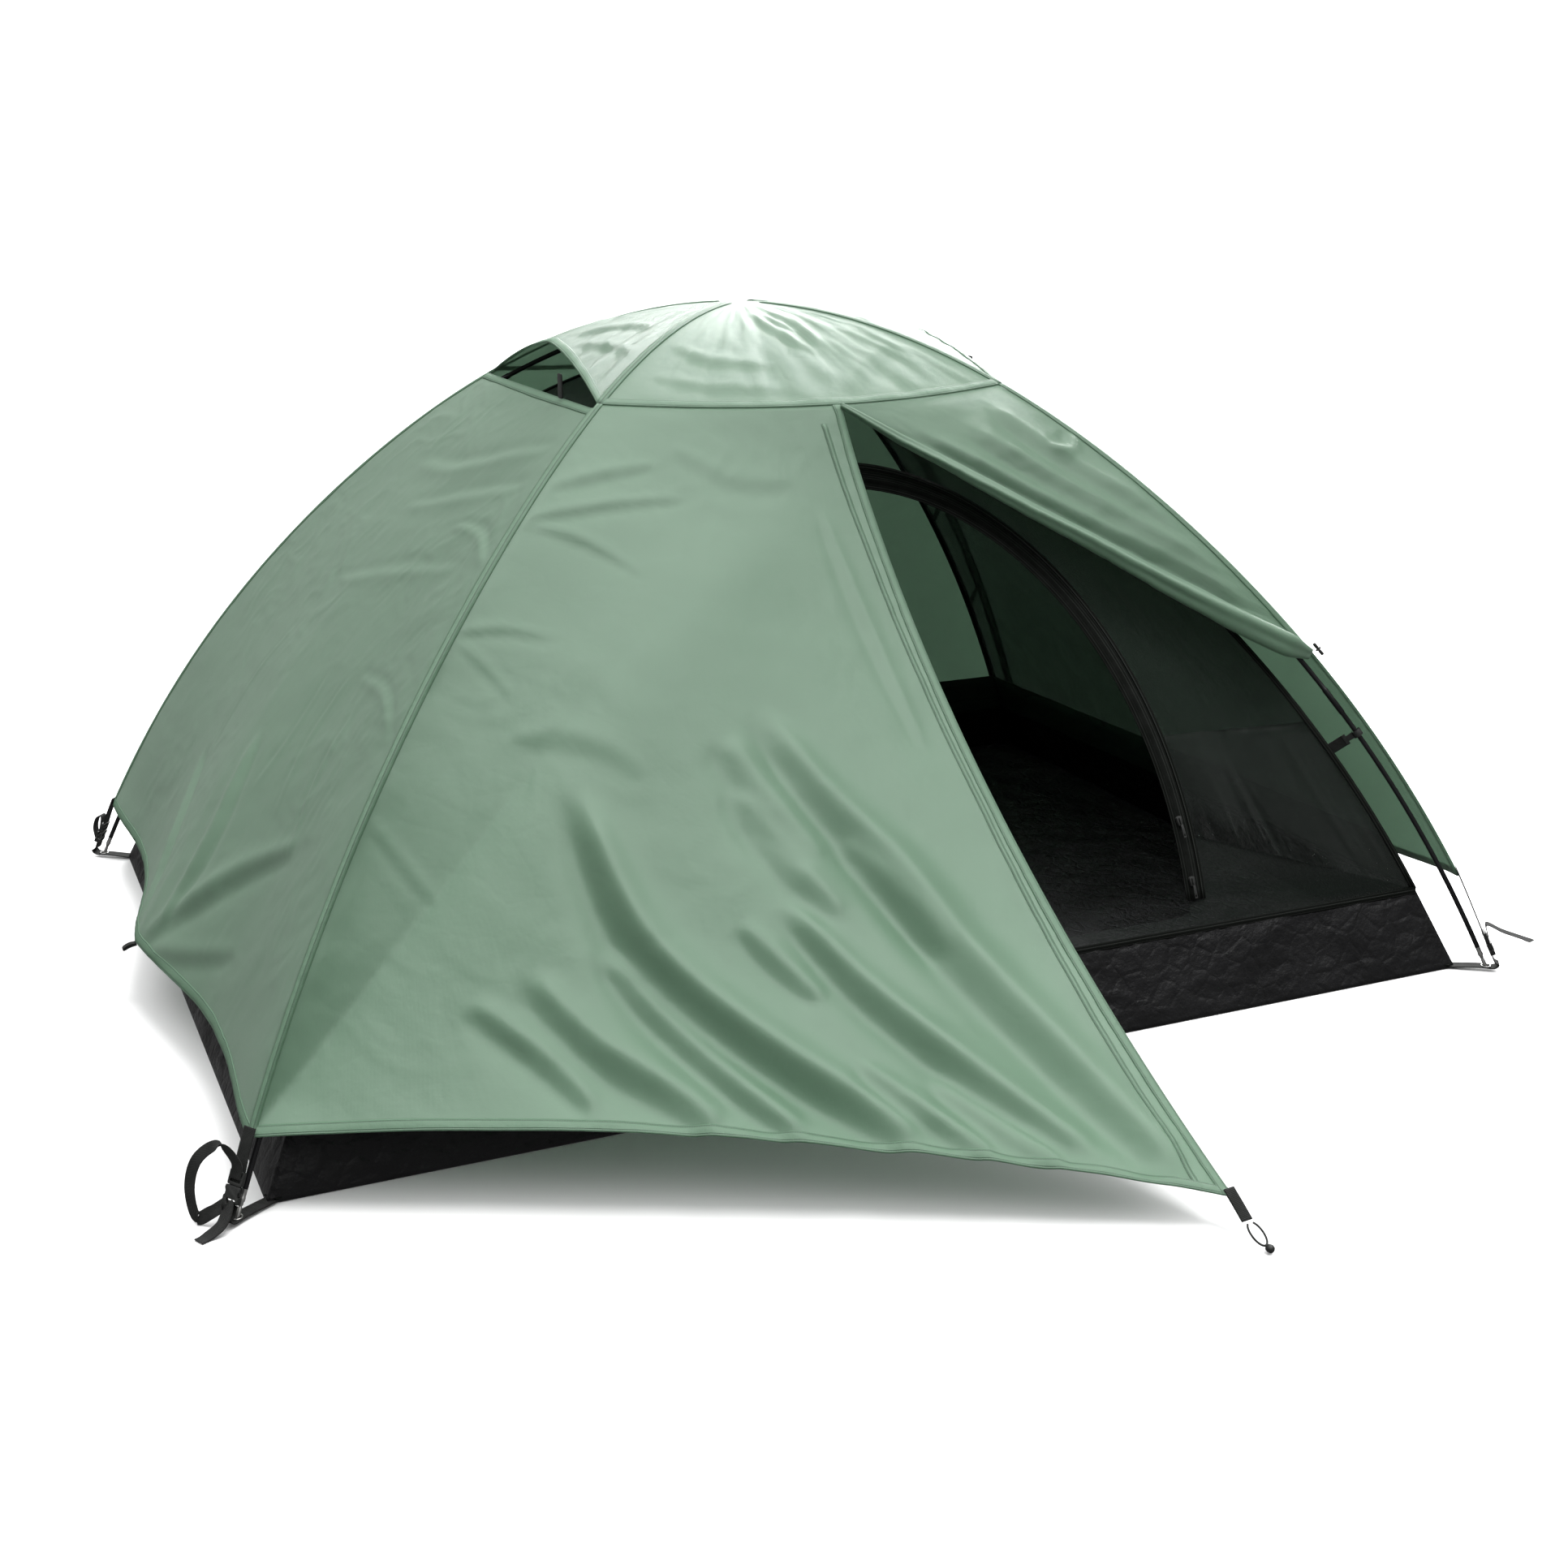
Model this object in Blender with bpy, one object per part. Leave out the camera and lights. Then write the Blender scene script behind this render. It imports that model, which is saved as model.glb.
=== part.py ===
"""Two-pole backpacking dome tent with a full rain fly.

Frame: X along the tent's length, the front door faces -Y, +Z is up.
The origin is the centre of the floor's underside, which lies on the ground.
All sizes are in metres.
"""
import math

import bmesh
import bpy
from mathutils import Matrix, Vector

# ---- driving dimensions -------------------------------------------------
FLOOR_LENGTH = 2.10
FLOOR_WIDTH = 1.58
BATHTUB_FRONT = 0.145          # height of the waterproof floor's wall, front
BATHTUB_BACK = 0.100           # and back
POLE_RISE = 1.122              # height of the crossing of the poles' centre lines
POLE_RADIUS = 0.00425
POLE_OUT_X = 0.047             # the pole tips stand this far outside the floor
POLE_OUT_Y = 0.031
POLE_END = 0.985               # run s where the tube ends and its metal tip starts
POLE_SECTIONS = 9
FERRULE_SWELL = 1.22           # a ferrule's radius over the pole's
FERRULE_HALF = 0.008           # half a ferrule, as a share of the half pole
CROSSING_SPREAD = 0.12         # the poles part over this run at their crossing
CLOTH = 0.002                  # thickness of a fabric solid
SEAM_GAP = 0.004               # clear strip between two neighbouring panels
FLY_OVER_POLE = 0.021          # fly's middle surface over the poles' centre line
INNER_UNDER_POLE = 0.055       # inner tent's seam under the poles' centre line
SMALL_GAP = 0.0006             # clearance between touching hard parts
WEBBING = 0.022                # width of the corner webbing
WEBBING_THICK = 0.0018
EYELET_RADIUS = 0.0068         # the hole in it for a pole tip
STRAP_REACH = 0.020            # the strap turns up this far outside the pole tip

# ---- small moulded and sewn parts ----------------------------------------
HOOK_WALL = 0.0026             # pole clip
CLIP_DEPTH = 0.020
CROWN_TIE = (0.020, 0.0024, 0.034)
BUCKLE_WIDTH = 0.026           # side-release buckle
BUCKLE_THICK = 0.0085
BUCKLE_LENGTH = 0.024          # of the female half
BUCKLE_WALL = 0.003
BUCKLE_FOOT = 0.030            # from the strap's bend up to the female half
BAR_LENGTH = 0.009             # of the male half's bar
PRONG_WIDTH = 0.004
PRONG_OUT = 0.0072             # a prong's middle from the buckle's middle
TIP_TAB = (0.024, 0.018)       # the vestibule tip's tab: ahead and down
TIP_CORD_REACH = 0.046         # from the tab's end to the middle of the ball
STRUT = (0.0022, 0.022, 0.040)
STRUT_PLACE = 3                # row point of the panel's lip that the strut stands on
TOGGLE_RADIUS = 0.0028
TOGGLE_HALF = 0.013
TOGGLE_OUT = 0.014             # from the fly's ridge to the toggle's axis
TOGGLE_LOOP = (0.0042, 0.0062)
TOGGLE_CORD_RADIUS = 0.0011
PULL_OUT_HALF = 0.006

# The tip's cord loop, from the tab round to the tab: share of the way to the
# ball, and metres to the side.
TIP_LOOP = (
    (0.06, -0.0047),
    (0.20, -0.0080),
    (0.40, -0.0098),
    (0.62, -0.0097),
    (0.82, -0.0077),
    (0.95, -0.0043),
    (1.00, 0.0000),
    (0.95, 0.0043),
    (0.82, 0.0077),
    (0.62, 0.0097),
    (0.40, 0.0098),
    (0.20, 0.0080),
    (0.06, 0.0047),
)

# ---- shape of the poles -------------------------------------------------
# Height over the run s (0 at the crossing, 1 at the tip):
# 1 - SQUARE s^2 - FOURTH s^4 - SIXTH s^6
ARC_SQUARE = 1.06
ARC_FOURTH = -0.40
ARC_SIXTH = 1.0 - ARC_SQUARE - ARC_FOURTH
ARC_SIDE_BOW = 0.018           # the legs bow towards the long sides
BOW_PEAK = 2.0 / (3.0 * math.sqrt(3.0))
LEGS = {"fl": (-1, -1), "fr": (1, -1), "br": (1, 1), "bl": (-1, 1)}

# ---- layout of the fly --------------------------------------------------
ROOF_EDGE = 0.335              # run s at the edge of the roof cap
PANEL_TOP = 0.347              # run s at the top of the panels under it
HEM = {"fl": 0.962, "fr": 0.938, "br": 0.962, "bl": 0.962}
FRONT_BULGE = Vector((0.0, -0.066, -0.012))
BACK_BULGE = Vector((0.0, 0.045, -0.010))
HOOD_RISE = Vector((0.015, 0.0, 0.075))
DOOR_TOP_SHARE = 0.54          # where the door zip meets the roof seam, left to right
VESTIBULE_TIP = Vector((0.135, -1.385, 0.047))
ZIP_SAG = 0.105                # the door's zip edge hangs this far off its chord
HEM_LIFT = 0.045
BALL_RADIUS = 0.0060           # stopper on the tip's shock cord loop
TIP_CORD_RADIUS = 0.0015
END_PULL = 0.050               # the end hems are pulled out at their middle
HEM_SCALLOP = 0.030            # and cut in between the pull-outs
TOGGLE_RUN = 0.735             # run s of the toggle that holds the rolled door
ROLL_RADIUS_TOP = 0.009
ROLL_RADIUS_END = 0.024

# ---- layout of the inner tent -------------------------------------------
DOORWAY_HALF = 0.51
DOORWAY_FOOT = 0.165
DOORWAY_RISE = 0.705
DOORWAY_POWER = 2.2
ZIP_TAPE = 0.030
CLIP_RUNS = (0.66, 0.81)
HOOK_START = -115.0            # a clip's hook, in degrees from its X axis
HOOK_SWEEP = 255.0

FLY_GREEN = (0.30, 0.42, 0.31)
INNER_GREEN = (0.05, 0.085, 0.058)
FLOOR_BLACK = (0.012, 0.012, 0.013)
TRIM_BLACK = (0.015, 0.016, 0.015)
POLE_BLACK = (0.02, 0.02, 0.02)
SILVER = (0.60, 0.60, 0.58)

HALF_X = FLOOR_LENGTH / 2
HALF_Y = FLOOR_WIDTH / 2
TIP_X = HALF_X + POLE_OUT_X
TIP_Y = HALF_Y + POLE_OUT_Y


# ---- materials and objects ----------------------------------------------
def material(name, colour, roughness, metallic=0.0):
    made = bpy.data.materials.get(name)
    if made is None:
        made = bpy.data.materials.new(name)
        made.use_nodes = True
        shader = made.node_tree.nodes["Principled BSDF"]
        shader.inputs["Base Color"].default_value = (*colour, 1.0)
        shader.inputs["Roughness"].default_value = roughness
        shader.inputs["Metallic"].default_value = metallic
    return made


def add_object(name, data, look, parent=None, matrix=None):
    """Link an object; matrix is its place under its parent."""
    made = bpy.data.objects.new(name, data)
    bpy.context.scene.collection.objects.link(made)
    data.materials.append(material(name + "_look", *look))
    if parent is not None:
        made.parent = parent
    if matrix is not None:
        made.matrix_basis = matrix
    return made


def add_empty(name, matrix, parent=None):
    made = bpy.data.objects.new(name, None)
    bpy.context.scene.collection.objects.link(made)
    made.parent = parent
    made.matrix_basis = matrix
    return made


def frame_at(origin, up, side):
    """A frame whose Z is up and whose X leans towards side."""
    z_axis = Vector(up).normalized()
    y_axis = z_axis.cross(Vector(side)).normalized()
    x_axis = y_axis.cross(z_axis)
    turned = Matrix((x_axis, y_axis, z_axis)).transposed().to_4x4()
    return Matrix.Translation(origin) @ turned


def mesh_from(name, points, faces):
    mesh = bpy.data.meshes.new(name)
    mesh.from_pydata([tuple(point) for point in points], [], faces)
    shaped = bmesh.new()
    shaped.from_mesh(mesh)
    bmesh.ops.remove_doubles(shaped, verts=shaped.verts, dist=1e-5)
    bmesh.ops.dissolve_degenerate(shaped, edges=shaped.edges, dist=1e-6)
    bmesh.ops.recalc_face_normals(shaped, faces=shaped.faces)
    shaped.to_mesh(mesh)
    shaped.free()
    return mesh


def solidify(made, thickness=CLOTH):
    modifier = made.modifiers.new("thickness", "SOLIDIFY")
    modifier.thickness = thickness
    modifier.offset = 0.0
    return made


def shade(made, angle=math.radians(40)):
    made.data.shade_smooth()
    made.data.set_sharp_from_angle(angle=angle)


def sheet(name, rows, look, parent=None, closed=False, thickness=CLOTH):
    """A fabric solid over a grid of points, given row by row in the parent's frame."""
    columns = len(rows[0])
    points = [point for row in rows for point in row]
    last = columns if closed else columns - 1
    faces = []
    for row in range(len(rows) - 1):
        for column in range(last):
            after = (column + 1) % columns
            first = row * columns
            below = first + columns
            faces.append((first + column, first + after, below + after, below + column))
    made = add_object(name, mesh_from(name, points, faces), look, parent)
    solidify(made, thickness)
    shade(made)
    return made


def box(name, size, centre):
    shaped = bmesh.new()
    place = Matrix.Translation(centre) @ Matrix.Diagonal((*size, 1.0))
    bmesh.ops.create_cube(shaped, size=1.0, matrix=place)
    mesh = bpy.data.meshes.new(name)
    shaped.to_mesh(mesh)
    shaped.free()
    return mesh


def extrude_outline(name, outline, depth):
    """A prism over a closed outline in X and Z, centred on Y."""
    shaped = bmesh.new()
    corners = [shaped.verts.new((x, -depth / 2, z)) for x, z in outline]
    face = shaped.faces.new(corners)
    grown = bmesh.ops.extrude_face_region(shaped, geom=[face])
    moved = [item for item in grown["geom"] if isinstance(item, bmesh.types.BMVert)]
    bmesh.ops.translate(shaped, verts=moved, vec=(0.0, depth, 0.0))
    bmesh.ops.recalc_face_normals(shaped, faces=shaped.faces)
    mesh = bpy.data.meshes.new(name)
    shaped.to_mesh(mesh)
    shaped.free()
    return mesh


def tube(name, points, radius, look, parent=None, swells=None, resolution=2):
    """A round bar along points; swells scales its radius at each point."""
    data = bpy.data.curves.new(name, "CURVE")
    data.dimensions = "3D"
    data.bevel_depth = radius
    data.bevel_resolution = resolution
    data.use_fill_caps = True
    line = data.splines.new("POLY")
    line.points.add(len(points) - 1)
    for index, point in enumerate(points):
        line.points[index].co = (*point, 1.0)
        line.points[index].radius = swells[index] if swells else 1.0
    return add_object(name, data, look, parent)


def ring_faces(ring_count, steps):
    """Faces of a capped skin over rings of points."""
    faces = []
    for ring in range(ring_count - 1):
        for step in range(steps):
            after = (step + 1) % steps
            low = ring * steps
            high = low + steps
            faces.append((low + step, low + after, high + after, high + step))
    faces.append(tuple(reversed(range(steps))))
    faces.append(tuple(range((ring_count - 1) * steps, ring_count * steps)))
    return faces


def turned(name, profile, look, parent=None, matrix=None, steps=12):
    """A solid of revolution about Z over (radius, height) pairs, foot to top."""
    points = []
    for radius, height in profile:
        for step in range(steps):
            angle = 2 * math.pi * step / steps
            points.append((radius * math.cos(angle), radius * math.sin(angle), height))
    faces = ring_faces(len(profile), steps)
    made = add_object(name, mesh_from(name, points, faces), look, parent, matrix)
    shade(made)
    return made


def cut(made, tool_mesh, name, operation="DIFFERENCE"):
    """Cut tool_mesh out of an object, or unite it, and keep the result."""
    tool = bpy.data.objects.new(name, tool_mesh)
    bpy.context.scene.collection.objects.link(tool)
    tool.parent = made.parent
    tool.matrix_basis = made.matrix_basis
    tool.hide_render = True
    tool.display_type = "WIRE"
    modifier = made.modifiers.new(name, "BOOLEAN")
    modifier.operation = operation
    modifier.object = tool


# ---- lines of the poles and the surfaces between them --------------------
def arc_height(run):
    square = run * run
    return 1.0 - ARC_SQUARE * square - ARC_FOURTH * square ** 2 - ARC_SIXTH * square ** 3


def arc_slope(run):
    cube = run ** 3
    return -2 * ARC_SQUARE * run - 4 * ARC_FOURTH * cube - 6 * ARC_SIXTH * run * run * cube


def leg_point(leg, run, out=0.0):
    """A point of a pole's leg, moved out along the leg's outward normal."""
    side_x, side_y = LEGS[leg]
    reach = math.hypot(TIP_X, TIP_Y)
    bow = ARC_SIDE_BOW * (run - run ** 3) / BOW_PEAK
    x = side_x * (TIP_X * run - bow * TIP_Y / reach)
    y = side_y * (TIP_Y * run + bow * TIP_X / reach)
    fall = POLE_RISE * arc_slope(run)
    along = Vector((side_x * TIP_X, side_y * TIP_Y, 0.0)) / reach
    normal = (along * -fall + Vector((0.0, 0.0, reach))).normalized()
    return Vector((x, y, POLE_RISE * arc_height(run))) + normal * out


def leg_direction(leg, run):
    step = 0.001
    return (leg_point(leg, run + step) - leg_point(leg, run - step)).normalized()


def run_at_height(leg, height, out):
    low, high = 0.0, 1.0
    for _ in range(40):
        middle = (low + high) / 2
        if leg_point(leg, middle, out).z > height:
            low = middle
        else:
            high = middle
    return (low + high) / 2


def share(index, count):
    return index / (count - 1)


def arch(part):
    """0 at both ends of 0..1, 1 in the middle."""
    return 4 * part * (1 - part)


def pole_point(leg, run):
    """The pole's centre line: pole b passes over pole a at the crossing."""
    side = -1 if leg in ("fl", "br") else 1
    lift = (POLE_RADIUS + 0.0004) * FERRULE_SWELL
    return leg_point(leg, run, side * lift * math.exp(-((run / CROSSING_SPREAD) ** 2)))


def fly_leg(leg, run):
    return leg_point(leg, run, FLY_OVER_POLE)


def inset(part, start, end, gap):
    """Squeeze 0..1 so that both ends stay clear of start and end by gap."""
    width = max((end - start).length, 2 * gap)
    edge = gap / width
    return edge + (1 - 2 * edge) * part


# ---- roof cap -------------------------------------------------------------
ROOF_SIDES = (("fl", "fr"), ("fr", "br"), ("br", "bl"), ("bl", "fl"))
ROOF_LIFTS = (
    FRONT_BULGE,
    Vector((-HOOD_RISE.x, 0.0, HOOD_RISE.z)),
    BACK_BULGE,
    HOOD_RISE,
)


def roof_point(side, run, part):
    """A point of the roof cap on one of its four sides."""
    start, end = ROOF_SIDES[side]
    grown = (run / ROOF_EDGE) ** 2
    flat = fly_leg(start, run).lerp(fly_leg(end, run), part)
    lift = ROOF_LIFTS[side] * (grown * arch(part))
    return flat + lift


def seam_bulge(bulge, part):
    return bulge * arch(part)


def build_roof():
    ring_count = 6
    side_steps = 8
    rows = []
    for ring in range(ring_count):
        run = ROOF_EDGE * share(ring, ring_count)
        row = []
        for side in range(4):
            for step in range(side_steps):
                row.append(roof_point(side, run, step / side_steps))
        rows.append(row)
    sheet("fly_roof_cap", rows, (FLY_GREEN, 0.55), closed=True)


# ---- fly panels -----------------------------------------------------------
def door_top():
    """Where the door's zip starts, on the seam under the roof cap."""
    left = fly_leg("fl", PANEL_TOP)
    right = fly_leg("fr", PANEL_TOP)
    return left.lerp(right, DOOR_TOP_SHARE) + seam_bulge(FRONT_BULGE, DOOR_TOP_SHARE)


def end_panel_rows(front_leg, back_leg, outward):
    row_count = 11
    column_count = 13
    rows = []
    for row in range(row_count):
        down = share(row, row_count)
        front_run = PANEL_TOP + (HEM[front_leg] - PANEL_TOP) * down
        back_run = PANEL_TOP + (HEM[back_leg] - PANEL_TOP) * down
        start = fly_leg(front_leg, front_run)
        end = fly_leg(back_leg, back_run)
        line = []
        for column in range(column_count):
            part = inset(share(column, column_count), start, end, SEAM_GAP)
            peak = 1 - abs(2 * part - 1)
            scallop = math.sin(2 * math.pi * part) ** 2
            pull = END_PULL * peak ** 1.5 - HEM_SCALLOP * scallop
            line.append(start.lerp(end, part) + outward * (pull * down ** 3))
        rows.append(line)
    return rows


def back_panel_rows():
    row_count = 11
    column_count = 13
    rows = []
    for row in range(row_count):
        down = share(row, row_count)
        start = fly_leg("br", PANEL_TOP + (HEM["br"] - PANEL_TOP) * down)
        end = fly_leg("bl", PANEL_TOP + (HEM["bl"] - PANEL_TOP) * down)
        line = []
        for column in range(column_count):
            part = inset(share(column, column_count), start, end, SEAM_GAP)
            top = seam_bulge(BACK_BULGE, part) * (1 - down) ** 2
            peak = 1 - abs(2 * part - 1)
            scallop = math.sin(2 * math.pi * part) ** 2
            pull = 1.6 * END_PULL * peak ** 1.5 - HEM_SCALLOP * scallop
            line.append(start.lerp(end, part) + top + Vector((0, pull * down ** 3, 0)))
        rows.append(line)
    return rows


def gusset_rows(leg, far, far_part, last_run, row_count=10, column_count=6):
    """Fabric between a ridge and the straight line from the door's top to far.

    The rulings run from the ridge to the line; both meet at the foot.
    """
    near_part = 0.0 if leg == "fl" else 1.0
    rows = []
    for row in range(row_count):
        down = 0.97 * share(row, row_count)
        ridge = fly_leg(leg, PANEL_TOP + (last_run - PANEL_TOP) * down)
        line_point = door_top().lerp(far, down)
        line = []
        for column in range(column_count):
            part = inset(share(column, column_count), ridge, line_point, SEAM_GAP)
            across = near_part + (far_part - near_part) * part
            straight = arch(far_part) * part
            bulge = FRONT_BULGE * ((arch(across) - straight) * (1 - down) ** 2)
            line.append(ridge.lerp(line_point, part) + bulge)
        rows.append(line)
    return rows


def zip_edge(down):
    """The free edge of the left door half, from the door's top to the tip."""
    chord = VESTIBULE_TIP - door_top()
    inward = Vector((0.0, -chord.z, chord.y)).normalized()
    skew = down ** 0.9
    return door_top() + chord * down + inward * (ZIP_SAG * arch(skew))


def flap_point(down, part):
    """A point of the left door half: part 0 on its hinge line, 1 on the zip edge."""
    hinge = door_top().lerp(fly_leg("fl", HEM["fl"]), down)
    lift = Vector((0.0, 0.0, HEM_LIFT)) * (down ** 4 * arch(part))
    return hinge.lerp(zip_edge(down), part) + lift


def build_fly():
    look = (FLY_GREEN, 0.55)
    build_roof()
    sheet("fly_left_end", end_panel_rows("fl", "bl", Vector((-1, 0, 0))), look)
    sheet("fly_right_end", end_panel_rows("fr", "br", Vector((1, 0, 0))), look)
    sheet("fly_back", back_panel_rows(), look)
    corner = fly_leg("fl", HEM["fl"])
    sheet("fly_front_left", gusset_rows("fl", corner, DOOR_TOP_SHARE, HEM["fl"]), look)
    toggle = fly_leg("fr", TOGGLE_RUN)
    sheet("fly_front_right", gusset_rows("fr", toggle, DOOR_TOP_SHARE, TOGGLE_RUN), look)
    build_door_flap(look)
    build_door_roll(look)


def build_door_flap(look):
    """The left door half, its zip, slider, tab and cord, on one hinge empty."""
    hinge = add_empty("left_door_hinge", Matrix.Translation(fly_leg("fl", HEM["fl"])))
    back = Vector(hinge.location)
    row_count = 13
    column_count = 12
    rows = []
    for row in range(row_count):
        down = 0.02 + 0.98 * share(row, row_count)
        width = (flap_point(down, 1.0) - flap_point(down, 0.0)).length
        edge = min(SEAM_GAP / width, 0.4)
        parts = [edge + (1 - edge) * share(i, column_count) for i in range(column_count)]
        rows.append([flap_point(down, part) - back for part in parts])
    sheet("fly_door_left", rows, look, hinge)
    build_fly_zip(hinge, back)
    build_tip(hinge, back)


def flap_normal(down, part):
    step = 0.01
    first = flap_point(down + step, part) - flap_point(down - step, part)
    second = flap_point(down, part) - flap_point(down, part - step)
    return first.cross(second).normalized()


def flap_inside(down, from_edge, under):
    """A point a set distance in from the zip edge and under the cloth."""
    width = (flap_point(down, 1.0) - flap_point(down, 0.0)).length
    part = 1.0 - from_edge / width
    normal = flap_normal(down, part)
    if normal.y > 0:
        normal.negate()
    return flap_point(down, part) - normal * under


def build_fly_zip(hinge, back):
    row_count = 14
    edge = 0.028
    under = 0.005
    rows = []
    for row in range(row_count):
        down = 0.17 + 0.78 * share(row, row_count)
        near = flap_inside(down, edge, under) - back
        far = flap_inside(down, edge + ZIP_TAPE, under) - back
        rows.append([near, near.lerp(far, 0.5), far])
    sheet("fly_zip_tape", rows, (TRIM_BLACK, 0.7), hinge)
    middle = edge + ZIP_TAPE / 2
    low = flap_inside(0.90, middle, under + 0.006)
    high = flap_inside(0.84, middle, under + 0.006)
    facing = flap_normal(0.88, 0.95)
    place = frame_at(low - back, high - low, facing)
    add_object("fly_zip_slider", slider_mesh("fly_zip_slider"), (TRIM_BLACK, 0.35), hinge, place)


def slider_mesh(name):
    """A zip slider's body with its pull tab hanging below it."""
    outline = [
        (-0.0025, -0.006),
        (0.0025, -0.008),
        (0.0025, 0.008),
        (-0.0025, 0.006),
    ]
    mesh = extrude_outline(name, outline, 0.011)
    shaped = bmesh.new()
    shaped.from_mesh(mesh)
    bmesh.ops.bevel(
        shaped,
        geom=list(shaped.edges),
        offset=0.001,
        segments=1,
        affect="EDGES",
    )
    shaped.to_mesh(mesh)
    shaped.free()
    return mesh


def build_tip(hinge, back):
    """Webbing tab, shock cord loop and stopper ball at the vestibule's tip."""
    chord = VESTIBULE_TIP - door_top()
    ahead = Vector((chord.x, chord.y, 0.0)).normalized()
    side = ahead.cross(Vector((0, 0, 1))).normalized()
    start = VESTIBULE_TIP - back + ahead * 0.005 - Vector((0, 0, 0.003))
    tab_end = start + ahead * TIP_TAB[0] - Vector((0.0, 0.0, TIP_TAB[1]))
    half = side * (WEBBING * 0.4)
    rows = [[start - half, start + half], [tab_end - half, tab_end + half]]
    sheet("tip_webbing_tab", rows, (TRIM_BLACK, 0.75), hinge)
    ball = tab_end + ahead * TIP_CORD_REACH
    ball.z = BALL_RADIUS + 0.001 - back.z
    near = tab_end + ahead * 0.004
    far = ball - ahead * (BALL_RADIUS + 2 * TIP_CORD_RADIUS)
    route = [near.lerp(far, part) + side * out for part, out in TIP_LOOP]
    tube("tip_shock_cord", route, TIP_CORD_RADIUS, (TRIM_BLACK, 0.8), hinge)
    build_ball(hinge, ball)


def build_ball(hinge, centre):
    rings = 7
    profile = []
    for ring in range(rings):
        angle = math.pi * (0.08 + 0.84 * share(ring, rings))
        profile.append((BALL_RADIUS * math.sin(angle), -BALL_RADIUS * math.cos(angle)))
    place = Matrix.Translation(centre)
    turned("tip_cord_ball", profile, (TRIM_BLACK, 0.5), hinge, place)


def build_door_roll(look):
    """The right door half, rolled up along the panel's free edge."""
    top = door_top()
    toggle = fly_leg("fr", TOGGLE_RUN)
    along = (toggle - top).normalized()
    facing = (fly_leg("fr", PANEL_TOP) - top).cross(along).normalized()
    if facing.y > 0:
        facing.negate()
    down = facing.cross(along).normalized()
    if down.z > 0:
        down.negate()
    start = top + along * 0.040 + down * (ROLL_RADIUS_TOP + 0.006) - facing * 0.006
    end = toggle - along * 0.030 + down * (ROLL_RADIUS_END + 0.005) - facing * 0.004
    sag = Vector((0.0, 0.0, -0.008))

    def centre(part):
        return start.lerp(end, part) + sag * arch(part)

    def radius(part):
        return ROLL_RADIUS_TOP + (ROLL_RADIUS_END - ROLL_RADIUS_TOP) * part

    bundle("fly_door_right_rolled", centre, radius, down, facing, look)


def bundle(name, centre, radius, side, up, look):
    """A tapering roll of cloth; centre and radius take 0..1 along it."""
    count = 12
    steps = 10
    points = []
    for index in range(count):
        part = share(index, count)
        for step in range(steps):
            angle = 2 * math.pi * step / steps
            spoke = side * math.cos(angle) + up * math.sin(angle)
            points.append(centre(part) + spoke * radius(part))
    faces = ring_faces(count, steps)
    made = add_object(name, mesh_from(name, points, faces), look)
    shade(made)


# ---- poles ----------------------------------------------------------------
def build_pole(name, first_leg, second_leg):
    """A shock-corded pole from tip to tip, thicker at its ferrules."""
    joints = [2.0 * (i + 1) / POLE_SECTIONS - 1.0 for i in range(POLE_SECTIONS - 1)]
    stations = []
    step_count = 40
    for index in range(step_count + 1):
        place = POLE_END * (2 * index / step_count - 1)
        if all(abs(place - joint) > 2 * FERRULE_HALF for joint in joints):
            stations.append((place, 1.0))
    for joint in joints:
        for shift, swell in ((-1.15, 1.0), (-1, FERRULE_SWELL), (1, FERRULE_SWELL), (1.15, 1.0)):
            stations.append((joint + shift * FERRULE_HALF, swell))
    stations.sort()
    points = []
    swells = []
    for place, swell in stations:
        leg = first_leg if place < 0 else second_leg
        points.append(pole_point(leg, abs(place)))
        swells.append(swell)
    tube(name, points, POLE_RADIUS, (POLE_BLACK, 0.35), swells=swells)


def build_pole_tip(leg):
    """The turned metal tip that stands in the corner grommet."""
    shoulder = pole_point(leg, POLE_END) + leg_direction(leg, POLE_END) * 0.0005
    foot = pole_point(leg, 1.0)
    direction = (foot - shoulder).normalized()
    lean = math.sqrt(1 - direction.z ** 2)
    pin_radius = 0.0032
    length = (shoulder.z - 0.0015 - pin_radius * lean) / -direction.z
    profile = [
        (pin_radius * 0.8, -length),
        (pin_radius, -length + 0.001),
        (pin_radius, -0.018),
        (POLE_RADIUS, -0.016),
        (POLE_RADIUS, 0.0),
    ]
    place = frame_at(shoulder, -direction, (0, 0, 1))
    turned("pole_tip_" + leg, profile, (SILVER, 0.3, 1.0), matrix=place)


def build_poles():
    build_pole("pole_a", "fl", "br")
    build_pole("pole_b", "bl", "fr")
    for leg in LEGS:
        build_pole_tip(leg)


def clip_outline():
    """Side view of a pole clip: an arm that ends in an open hook."""
    inner = POLE_RADIUS * FERRULE_SWELL + 0.0012
    outer = inner + HOOK_WALL
    steps = 9
    outline = []
    for step in range(steps):
        angle = math.radians(HOOK_START + HOOK_SWEEP * share(step, steps))
        outline.append((outer * math.cos(angle), outer * math.sin(angle)))
    for step in reversed(range(steps)):
        angle = math.radians(HOOK_START + HOOK_SWEEP * share(step, steps))
        outline.append((inner * math.cos(angle), inner * math.sin(angle)))
    return outline


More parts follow.
